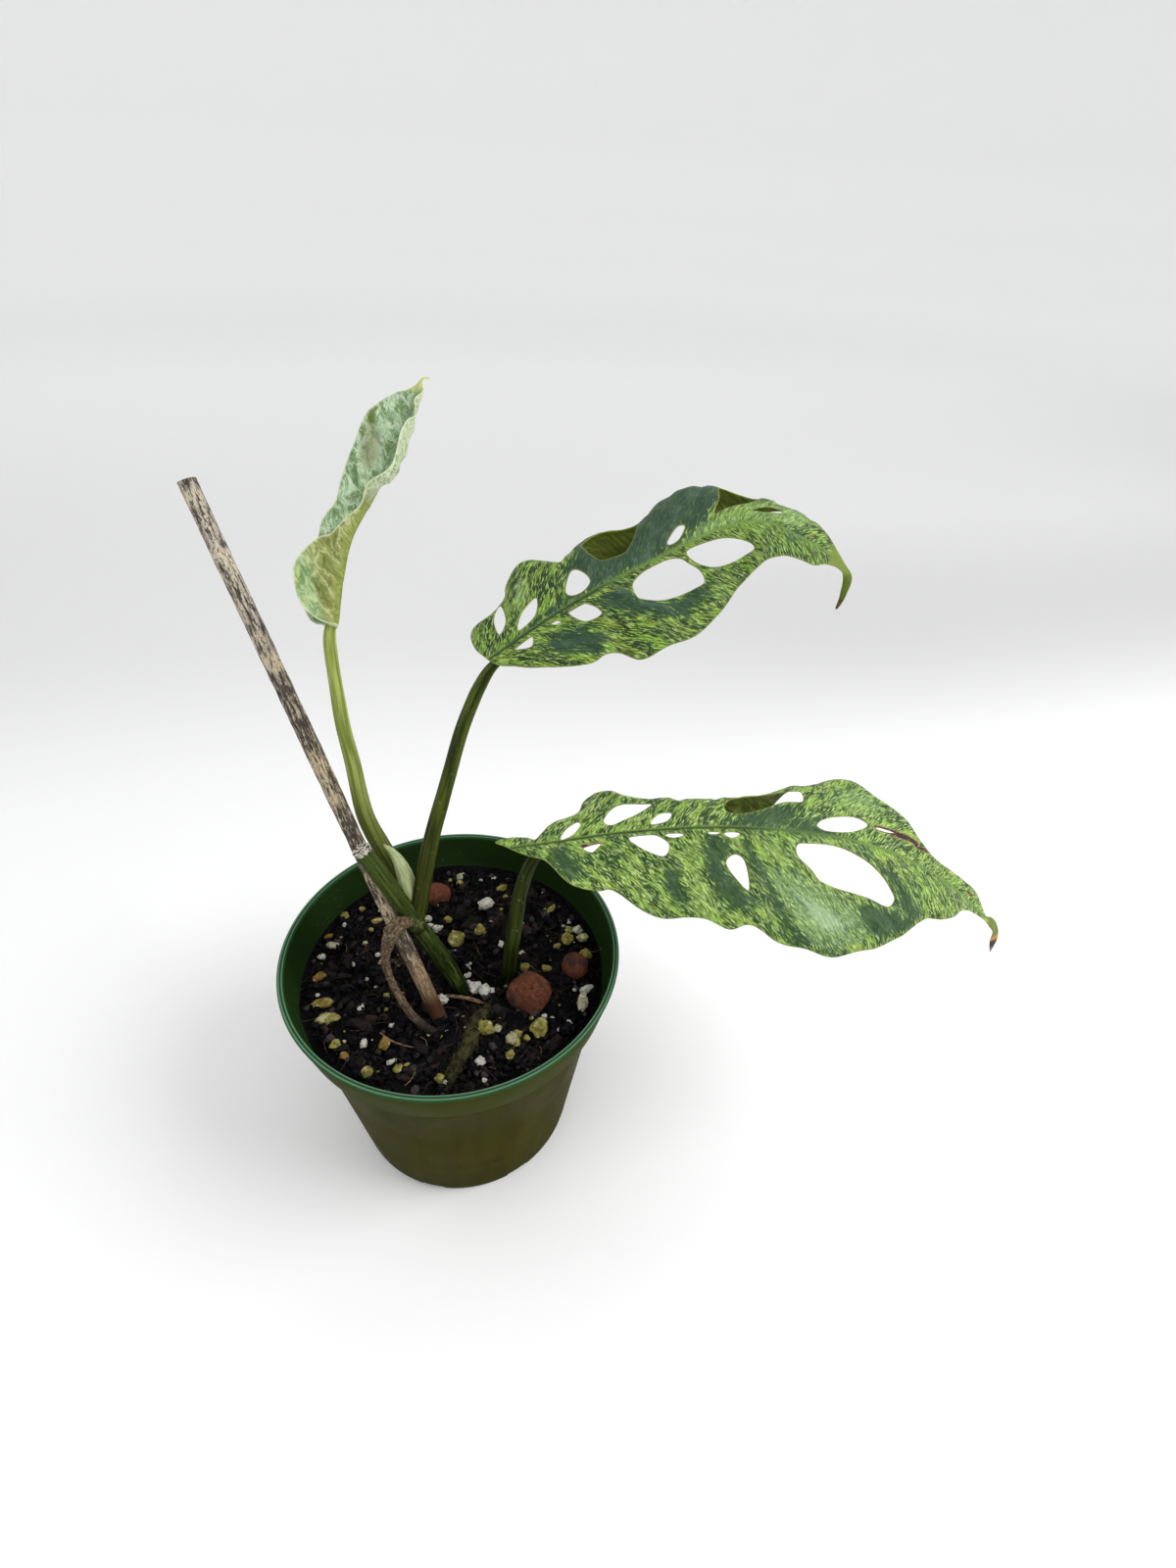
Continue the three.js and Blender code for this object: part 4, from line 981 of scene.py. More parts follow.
def blade_points(leaf, u, v):
    """Places in space, in millimetres, of flat points along and across the midrib."""
    share = np.clip(u / leaf["length"], 0, 1)
    run = share * leaf["length"]
    spot = at_runs(run, leaf["run"], leaf["line"])
    ahead = at_runs(run, leaf["run"], leaf["ahead"])
    ahead /= np.linalg.norm(ahead, axis=-1, keepdims=True)
    side = np.cross((0, 0, 1), ahead)
    side /= np.linalg.norm(side, axis=-1, keepdims=True)
    out = np.zeros(len(u))
    high = np.zeros(len(u))
    for half, chosen in ((leaf["left"], v >= 0), (leaf["right"], v < 0)):
        where = share[chosen]
        width = np.abs(v[chosen])
        fold_at = along(half["fold_at"], where)
        bend = np.radians(along(half["bend"], where))
        fold = np.radians(along(half["fold"], where))
        angle = np.radians(along(half["rise"], where))
        parts = ((np.minimum(width, fold_at), bend), (np.maximum(width - fold_at, 0), bend + fold))
        for length, turn in parts:
            turn = np.where(np.abs(turn) < 1e-5, 1e-5, turn)
            final = angle + turn * length
            out[chosen] += (np.sin(final) - np.sin(angle)) / turn
            high[chosen] -= (np.cos(final) - np.cos(angle)) / turn
            angle = final
    size, pitch = leaf["wave"]
    high += size * (v / 20) ** 2 * np.sin(2 * np.pi * u / pitch)
    out *= np.sign(v)
    above = np.cross(ahead, side) * high[:, None]
    return spot + ahead * (u - run)[:, None] + side * out[:, None] + above


def spaced_loop(knots, spacing):
    """Evenly spaced points on the closed smooth curve through the knots."""
    line = smooth_line(knots, True, 24)
    line = np.vstack([line, line[:1]])
    run = run_along(line)
    count = max(10, round(run[-1] / spacing))
    return at_runs(np.arange(count) / count * run[-1], run, line)


def within(loop, u, v):
    """Which flat points lie inside a loop."""
    inside = np.zeros(len(u), bool)
    for (ax, ay), (bx, by) in zip(loop, np.roll(loop, -1, 0)):
        if ay != by:
            inside ^= ((ay > v) != (by > v)) & (u < ax + (v - ay) / (by - ay) * (bx - ax))
    return inside


def on_blade(edge, windows, u, v):
    """Which flat points lie inside the edge and outside all windows."""
    chosen = within(edge, u, v)
    for window in windows:
        chosen &= ~within(window, u, v)
    return chosen


def distance_to(points, u, v):
    """Distance from each flat point to the nearest of the given points."""
    nearest = np.full(len(u), 1e9)
    for start in range(0, len(points), 64):
        part = points[start:start + 64]
        nearest = np.minimum(nearest, np.hypot(u[:, None] - part[:, 0], v[:, None] - part[:, 1]).min(1))
    return nearest


def vein_run(leaf, u, v):
    """How far along the midrib the lateral vein through a point leaves it."""
    width = np.abs(v)
    return u - leaf["lean"] * width - 0.006 * width ** 2


def off_vein(leaf, u, v):
    """Distance, along the midrib, from a point to the nearest lateral vein."""
    place_on_vein = vein_run(leaf, u, v) / leaf["vein_pitch"]
    return np.abs(place_on_vein - np.round(place_on_vein)) * leaf["vein_pitch"]


def blade_relief(leaf, u, v, rim):
    """Height of the upper face: quilted between the veins, sunk along them and along the midrib."""
    width = np.abs(v)
    swell = np.clip((width - 0.8) / 5, 0, 1) * np.clip(rim / 2.5, 0, 1)
    quilt = leaf["quilt"] * (1 - np.exp(-(off_vein(leaf, u, v) / 1.6) ** 2)) * swell
    fine = np.array([noise.fractal(Vector((a * 0.22, b * 0.22, 7)), 0.9, 2.0, 3) for a, b in zip(u, v)])
    pucker = leaf["pucker"] * fine * np.clip(width / 4, 0, 1) * np.clip(rim / 1.5, 0.25, 1)
    channel = -0.22 * np.exp(-(width / 0.9) ** 2) * np.clip(1 - u / leaf["length"], 0, 1)
    return quilt + channel + pucker


def build_blade(name, leaf, spacing):
    """A blade with its windows, as a mesh of about this spacing that keeps its marks for the skin."""
    line = smooth_line(leaf["rib"], False, 300)
    leaf["line"] = line
    leaf["run"] = run_along(line)
    leaf["length"] = leaf["run"][-1]
    leaf["ahead"] = np.gradient(line, axis=0)
    edge = spaced_loop(leaf["outline"], 0.8 * spacing)
    windows = [spaced_loop(window, 0.8 * spacing) for window in leaf["windows"]]

    u, v = [], []
    half_width, behind_stalk = 40, 14
    row_step = spacing * math.sqrt(0.75)
    last_row = round(half_width / row_step)
    for row in range(-last_row, last_row + 1):
        line_u = np.arange(-behind_stalk, leaf["length"] + 1, spacing) + (row % 2) * spacing / 2
        u.append(line_u)
        v.append(np.full(len(line_u), row * row_step))
    u, v = np.concatenate(u), np.concatenate(v)
    loops = [edge] + windows
    rim_points = np.concatenate(loops)
    chosen = on_blade(edge, windows, u, v)
    chosen[chosen] &= distance_to(rim_points, u[chosen], v[chosen]) > 0.6 * spacing
    flat = np.concatenate([rim_points, np.stack([u[chosen], v[chosen]], -1)])
    borders, start = [], 0
    for loop in loops:
        borders += [(start + i, start + (i + 1) % len(loop)) for i in range(len(loop))]
        start += len(loop)
    cut = delaunay_2d_cdt([Vector(p) for p in flat], borders, [], 0, 1e-5)
    flat = np.array([tuple(p) for p in cut[0]])
    faces = np.array([face for face in cut[2]])
    middle = flat[faces].mean(1)
    faces = faces[on_blade(edge, windows, middle[:, 0], middle[:, 1])]
    used, faces = np.unique(faces, return_inverse=True)
    faces = faces.reshape(-1, 3)
    flat = flat[used]
    a, b, c = flat[faces[:, 0]], flat[faces[:, 1]], flat[faces[:, 2]]
    area = (b[:, 0] - a[:, 0]) * (c[:, 1] - a[:, 1]) - (b[:, 1] - a[:, 1]) * (c[:, 0] - a[:, 0])
    faces[area < 0] = faces[area < 0][:, ::-1]

    u, v = flat[:, 0], flat[:, 1]
    rim = distance_to(rim_points, u, v)
    near = 0.3
    ahead = blade_points(leaf, u + near, v) - blade_points(leaf, u - near, v)
    across = blade_points(leaf, u, v + near) - blade_points(leaf, u, v - near)
    normal = np.cross(ahead, across)
    normal /= np.linalg.norm(normal, axis=1)[:, None]
    centre = blade_points(leaf, u, v)
    relief = blade_relief(leaf, u, v, rim)
    thin = blade_thickness / 2 * np.clip(0.45 + rim / 1.2, 0, 1)
    share = np.clip(1 - u / leaf["length"], 0, 1)
    rib_width = along(leaf["rib_width"], 1 - share)
    ridge = along(leaf["rib_height"], 1 - share) * np.clip(1 - (v / rib_width) ** 2, 0, 1)
    upper = centre + normal * (relief + thin)[:, None]
    lower = centre + normal * (relief - thin - ridge)[:, None]

    edges = {}
    for p, q, r in faces.tolist():
        for pair in ((p, q), (q, r), (r, p)):
            if pair[::-1] in edges:
                del edges[pair[::-1]]
            else:
                edges[pair] = True
    count = len(flat)
    sides = faces.tolist() + [(p + count, r + count, q + count) for p, q, r in faces.tolist()]
    sides += [(q, p, p + count, q + count) for p, q in edges]
    made = mesh_piece(name, np.concatenate([upper, lower]), sides)
    mesh = made.data
    mesh.validate()

    flow = np.stack([vein_run(leaf, u, v), np.abs(v) * 1.2, 40 * (v > 0)], -1)
    values = {
        "under": np.repeat([0.0, 1.0], count),
        "rim": np.tile(rim, 2),
        "across": np.tile(v, 2),
        "vein": np.tile(off_vein(leaf, u, v), 2),
        "run": np.tile(u, 2),
    }
    far_outside = -6.0
    for kind in ("dark", "painted_highlight", "pale", "brown"):
        amount = np.full(count, far_outside)
        for sector in leaf.get(kind, []):
            loop = spaced_loop(sector, 0.5)
            depth = distance_to(loop, u, v) * np.where(within(loop, u, v), 1, -1)
            amount = np.maximum(amount, depth)
        values[kind] = np.tile(amount, 2)
    add_marks(mesh, values)
    vectors = mesh.attributes.new("flow", "FLOAT_VECTOR", "POINT")
    vectors.data.foreach_set("vector", np.tile(flow, (2, 1)).ravel())
    sheet_size = 200
    flat_map = mesh.uv_layers.new(name="flat")
    corner_points = np.zeros(len(mesh.loops), int)
    mesh.loops.foreach_get("vertex_index", corner_points)
    flat_map.data.foreach_set("uv", (np.tile(flat, (2, 1))[corner_points] / sheet_size + 0.15).ravel())
    smooth_shade(made, 70)
    return made


def moved(spot, by):
    return add_node("VectorMath", {0: spot, 1: by}, operation="ADD").outputs[0]


def vein_marks(wander):
    """The marks that every blade keeps, and its flow, which wanders off its vein by this much."""
    kinds = ("under", "rim", "across", "run", "vein", "dark", "painted_highlight", "pale", "brown")
    marks = {kind: recorded(kind) for kind in kinds}
    flow = recorded("flow", "Vector")
    marks["flow"] = flow
    wobble = add_node("TexNoise", {"Vector": flow, "Scale": 0.22, "Detail": 2.0}).outputs["Color"]
    marks["warped"] = moved(flow, stretched(wobble, wander, wander, 0))
    return marks


def streak(marks, wide, long, seed, detail=3.0, rough=0.6):
    """Noise drawn out along the veins: wide and long are its fineness across and along them."""
    spread = stretched(marks["warped"], wide, long, 1)
    return mottle(moved(spread, (seed, 0, seed)), 1.0, detail, rough)


def leaf_finish(name, looks):
    """Marbled leaf skin: flecks that follow the veins, plain dark sectors, pale rim, olive below. It also
    paints light: highlights, sheen, shade under folds, and light shining through the underside.
    """
    skin = new_finish(name, 0.4, Specular_IOR_Level=0.2)
    marks = vein_marks(2.4)
    blotch = streak(marks, 0.36, 0.13, 3.0, 3.0)
    second = streak(marks, 0.16, 0.09, 61.0, 2.0)
    fine = streak(marks, 1.3, 0.26, 11.0, 4.0, 0.66)
    darker = streak(marks, 1.0, 0.24, 27.0, 4.0, 0.66)
    flecks = streak(marks, 2.4, 0.5, 71.0, 4.0, 0.64)
    minty = streak(marks, 1.9, 0.55, 41.0, 3.0)
    ragged = streak(marks, 1.2, 0.3, 53.0, 5.0, 0.72)
    broad = swing(blotch, 1.3)
    other = swing(second, 0.9)
    fray = swing(ragged, 16.0)

    light = step(maths("ADD", fine, broad), 0.46, 0.57)
    tone = mix(light, looks["green"], looks["lime"])
    # Olive patches: the blade's own olive, spread wider and darkened as painted shade under its folds.
    olive = mix(light, looks["olive_painted_shade"], looks["olive"])
    tone = coat(tone, other, -0.03, 0.1, olive, 0.0, looks["olive_and_shade_share"])
    sunk = step(maths("SUBTRACT", darker, broad), 0.48, 0.54, 0.0, 0.88)
    tone = mix(sunk, tone, looks["dark"])
    tone = coat(tone, flecks, 0.47, 0.41, looks["dark"], 0.0, 0.8)
    # Painted sheen: the pale patches listed for each grown leaf turn a pale grey-green, mint at their
    # cores.
    pale = step(maths("ADD", marks["pale"], fray), -1.5, 2.5, 0.0, 0.8)
    painted_sheen_tone = coat(looks["pale"], fine, 0.42, 0.6, looks["pale_light"])
    sheen_core = step(maths("ADD", marks["pale"], maths("MULTIPLY", fray, 0.7)), 4.2, 7, 0.0, 0.75)
    tone = mix(pale, tone, mix(sheen_core, painted_sheen_tone, looks["mint"]))
    cover = maths("ADD", minty, maths("MULTIPLY", other, 0.6))
    tone = coat(tone, cover, looks["mint_from"], looks["mint_from"] + 0.07, looks["mint"], 0.0, 0.8)
    # Painted highlight: the lit patches listed for each grown leaf are lightened to a brighter lime.
    painted_highlight = step(maths("ADD", marks["painted_highlight"], fray), -0.8, 2.2, 0.0, 0.65)
    tone = mix(painted_highlight, tone, coat(looks["green"], fine, 0.38, 0.6, looks["painted_highlight"]))
    tone = coat(tone, flecks, 0.53, 0.59, looks["fleck"], 0.0, 0.85)
    plain = coat(looks["sector"], darker, 0.42, 0.62, looks["sector_light"])
    # Painted highlight: a bluish sheen across part of the plain dark sectors.
    plain = coat(plain, second, 0.5, 0.7, looks["sector_painted_highlight"], 0.0, 0.5)
    plain = coat(plain, flecks, 0.58, 0.64, looks["lime"], 0.0, 0.2)
    tone = coat(tone, maths("ADD", marks["dark"], fray), -0.8, 0.8, plain, 0.0, 0.92)

    line = step(marks["vein"], 0.1, 0.45, looks["vein_share"], 0.0)
    tone = mix(line, tone, looks["vein"])
    off = maths("ABSOLUTE", marks["across"], 0.0)
    beside = maths("MULTIPLY", step(off, 0.7, 1.2, 0.4, 0.0), step(fine, 0.42, 0.56))
    tone = mix(beside, tone, looks["rib_side"])
    rib = mix(step(marks["run"], *looks["rib_change"]), looks["rib"], looks["rib_far"])
    rib_share = step(marks["run"], *looks["rib_change"], 0.85, 0.3)
    tone = mix(maths("MULTIPLY", step(off, 0.2, 0.55, 1.0, 0.0), rib_share), tone, rib)
    tone = coat(tone, marks["rim"], 0.12, 0.4, looks["rim"], looks["rim_share"], 0.0)
    rust = step(maths("ADD", marks["brown"], maths("MULTIPLY", fray, 0.12)), -0.3, 0.3)
    scorched = coat((150, 112, 90), marks["brown"], 0.05, 0.4, (58, 34, 28))
    tone = mix(rust, tone, coat(scorched, fine, 0.56, 0.66, (170, 132, 104)))

    # The underside's bright olive is partly painted light shining through the thin blade.
    below = coat(looks["below_dark"], fine, 0.42, 0.6, looks["below"])
    below = coat(below, marks["vein"], 0.1, 0.5, looks["below_vein"], 0.4, 0.0)
    below = coat(below, off, 0.9, 1.4, looks["below_vein"], 0.8, 0.0)
    below = coat(below, marks["rim"], 0.12, 0.4, looks["below_vein"], 0.6, 0.0)
    below = mix(rust, below, (96, 60, 34))
    tone = coat(tone, marks["under"], 0.4, 0.6, below)
    for start, tint in looks["tip"]:
        tone = coat(tone, marks["run"], start, start + 1.2, tint)
    into("Base Color", tone)
    into("Roughness", step(ragged, 0.3, 0.7, 0.34, 0.5))
    cells = mottle(marks["flow"], 3.2, 3.0)
    height = maths("ADD", cells, maths("MULTIPLY", ragged, 1.6))
    emboss(height, 0.4, 0.0003)
    return skin


# These colours hold painted light: the highlight lime and the bluish sector tone are painted highlights,
# the pale greens are painted sheen, and the darker olive is partly painted fold shade.
middle_looks = {
    "green": (54, 84, 26), "lime": (114, 150, 48), "dark": (32, 54, 24),
    "olive": (106, 118, 26), "olive_painted_shade": (48, 62, 10), "olive_and_shade_share": 0.75,
    "mint": (156, 184, 132), "mint_from": 0.66, "pale": (104, 136, 78), "painted_highlight": (126, 157, 62),
    "sector": (38, 62, 46), "sector_light": (50, 76, 56), "sector_painted_highlight": (78, 102, 90),
    "vein": (104, 134, 64), "vein_share": 0.2, "rib": (36, 60, 26), "rib_far": (124, 150, 70),
    "rib_change": (30, 44), "rib_side": (116, 148, 62), "rim": (138, 148, 74), "rim_share": 0.5,
    "pale_light": (138, 166, 110), "fleck": (168, 198, 108),
    "below": (98, 108, 22), "below_dark": (62, 76, 10), "below_vein": (120, 132, 50),
    "tip": [(99, (112, 132, 44)), (106, (96, 116, 34)), (112.5, (92, 84, 40))],
}

middle_leaf = {
    "rib_height": [0, 0.9, 0.8, 0.7, 0.5, 0.4, 0.2, 0], "rib_width": [1.7, 1.2],
    "wave": (0.6, 17), "lean": 0.75, "vein_pitch": 9.5, "quilt": 0.55, "pucker": 0.4,
    "rib": [
        (15.5, -3.5, 190), (34, 2.5, 198.5), (55.5, 7.5, 207), (83.5, 13.5, 214.5), (101, 10.5, 209.5),
        (110.4, 6.5, 203.5), (109.4, 3, 198.5), (107, 1.5, 193.5),
    ],
    "left": {
        "rise": [5, 16, 25, 27, 28, 28, 28, 27, 25, 18, 10, 8], "bend": [-0.8],
        "fold_at": [10, 10, 10, 11, 12.5, 9.5, 14.5, 11, 6, 6, 6, 6],
        "fold": [0, 0, 0, -8, -12, -12, -12, -12, -8, 0, 0, 0],
    },
    "right": {
        "rise": [-5, -10, -15, -18, -20, -22, -25, -25, -25, -20, -15, -10], "bend": [-1],
        "fold_at": [30], "fold": [0],
    },
    "outline": [
        (-0.6, 2.4), (-0.8, 7), (0.6, 12), (3, 13.4), (8, 12.4), (13, 14), (15, 16.6), (20, 19),
        (25.5, 18.4), (28.5, 13.6), (31, 16), (34, 22), (38, 25.6), (43, 26.6), (48, 24.8), (52, 22.4),
        (56, 23.5), (61, 25), (66, 25), (70, 24.4), (75, 24), (79, 21.4), (83, 16.5), (86.5, 13.2),
        (92, 12.4), (95.5, 11.4), (98, 8.6), (101, 4.6), (104.5, 1.6), (110, 1), (115.5, 0.4),
        (115.5, -0.4), (110, -1), (105, -1.4), (102, -2.4), (98.5, -4.4), (95.5, -6.6), (91, -7),
        (87, -7.9), (83.8, -9.4), (75, -12.6), (65, -15.4), (62, -16.5), (56, -20), (52, -21.2),
        (45, -22.2), (39, -22.6), (34.4, -22.3), (30.2, -21), (27, -17.8), (24, -16.7), (19.6, -16.9),
        (14.5, -14.5), (7, -9.9), (3.4, -6.3), (0.6, -3),
    ],
    "windows": [
        [(6.3, -2.2), (9, -1.7), (11.5, -1.8), (9.7, -4.2)],
        [(17.1, -1.3), (18.5, -1.4), (19.5, -2.9), (17.9, -2.5)],
        [(22.5, -1.5), (27.1, -1.7), (29.1, -6.4), (24.4, -6.2)],
        [(40, -3.3), (44.2, -1.6), (49.5, -1.3), (53.5, -2.7), (54.8, -5.2), (56.1, -8.4), (55.4, -11.5),
         (52.3, -12), (44.3, -11.1), (39.7, -8.7), (38.8, -6.6)],
        [(55.8, -3), (57.2, -1.6), (62.7, -1.9), (68, -3), (73.5, -6.6), (72.8, -8.6), (66, -9.6),
         (59.8, -8.9), (56.6, -6)],
        [(11, 12.8), (9.5, 7.4), (6, 4.8), (7.5, 10.2)],
        [(10.1, 2.2), (13.4, 6), (18.5, 7.3), (15.6, 3.1)],
        [(29.1, 8.6), (31.1, 7.4), (31.6, 3.4), (28.7, 1.7), (25.7, 2.2), (25.2, 4.3)],
        [(58.2, 5.7), (60, 5), (56.7, 2.3), (53.8, 1.9), (53.7, 3)],
        [(35.2, 13), (35.6, 9.8), (36.8, 6.9), (39.6, 6), (43, 5.8), (46.5, 8.2), (50, 11.5),
         (51.4, 13.4), (49.2, 15.4), (44.5, 16.4), (38.5, 16.2), (35.8, 15)],
        [(68.2, 4.9), (70, 5.3), (73.3, 6), (76.6, 6.7), (79.2, 8.6), (80.8, 11.5), (80, 14), (77, 15.6),
         (73.8, 15.2), (72.6, 12.6), (71.4, 9.2), (69.4, 6.8)],
        [(77.4, 4.1), (79, 5.3), (81.6, 6.5), (84, 6.5), (84.4, 5.6), (80.2, 4)],
    ],
    "dark": [
        [(6, 0.3), (16, 2), (23, 2.4), (28, 9), (31, 11), (34, 16), (36, 27), (76, 27), (73.7, 14.5),
         (69.5, 7.8), (64.5, 3.6), (57, 1.6), (50, 0.6), (30, 0.3)],
        [(30, -3.6), (37.5, -3.8), (39.5, -8.5), (44, -11.8), (55, -12.4), (55, -14.4), (46, -16.6),
         (38, -12), (32, -8)],
        [(13, -5.5), (20, -6.5), (26, -12), (24, -15), (17, -12.5), (13, -9)],
        [(86, -1), (90, -0.5), (89, -2.5), (86.5, -3)],
    ],
    # Patches of painted highlight.
    "painted_highlight": [
        [(50, -13.5), (57, -13), (62, -14), (59, -16.5), (52, -17)],
        [(66, 3), (76, 1.5), (84, 4), (80, 8), (70, 6)],
        [(57, -0.5), (66, -0.3), (80, -1), (80, -4), (70, -2.5), (60, -1.2)],
    ],
    # Patches of painted sheen.
    "pale": [
        [(12, 8), (16, 13), (19, 14), (17, 9)],
        [(55, 1.2), (70, 5), (84, 9), (92, 9), (88, 3), (70, 0.5)],
    ],
    "brown": [
        [(98.5, 8.4), (100, 6.6), (102.6, 3.2), (102, 2.6), (99.5, 5.4), (97.6, 8)],
        [(92.8, 2.3), (93.8, 2.3), (93.8, 3), (92.8, 3)],
    ],
}
middle_blade = build_blade("middle_leaf_blade", middle_leaf, 0.75)
stand_for(middle_blade, leaf_finish("middle_leaf_skin", middle_looks), "grown_blade", "blade_2")

# Low leaf: the largest blade, on the stalk from the mix, brighter in its marbling, with a pale patch of
# painted sheen.
# It is built like the middle leaf. Brown scorched lines edge two of its windows, and its tip is dry.
low_looks = dict(middle_looks)
# The low leaf's highlight, sheen and olive colours paint light and shade as the middle leaf's do.
low_looks.update({
    "green": (66, 100, 34), "lime": (138, 173, 70), "dark": (38, 66, 30),
    "olive": (132, 150, 46), "olive_painted_shade": (72, 94, 26), "olive_and_shade_share": 0.55,
    "mint": (168, 194, 160), "mint_from": 0.64, "pale": (92, 123, 78), "painted_highlight": (156, 188, 88),
    "sector": (42, 68, 44), "sector_light": (56, 84, 50), "sector_painted_highlight": (78, 104, 82),
    "rib": (44, 66, 26), "rib_far": (108, 136, 68), "rib_change": (62, 84),
    "pale_light": (124, 153, 104), "fleck": (194, 220, 138),
    "rib_side": (120, 152, 66), "below": (98, 112, 20), "below_dark": (56, 70, 8),
    "tip": [
        (151.5, (108, 126, 36)), (155, (96, 108, 24)), (158.2, (196, 140, 40)),
        (159.8, (64, 34, 30)), (163, (108, 104, 112)),
    ],
})
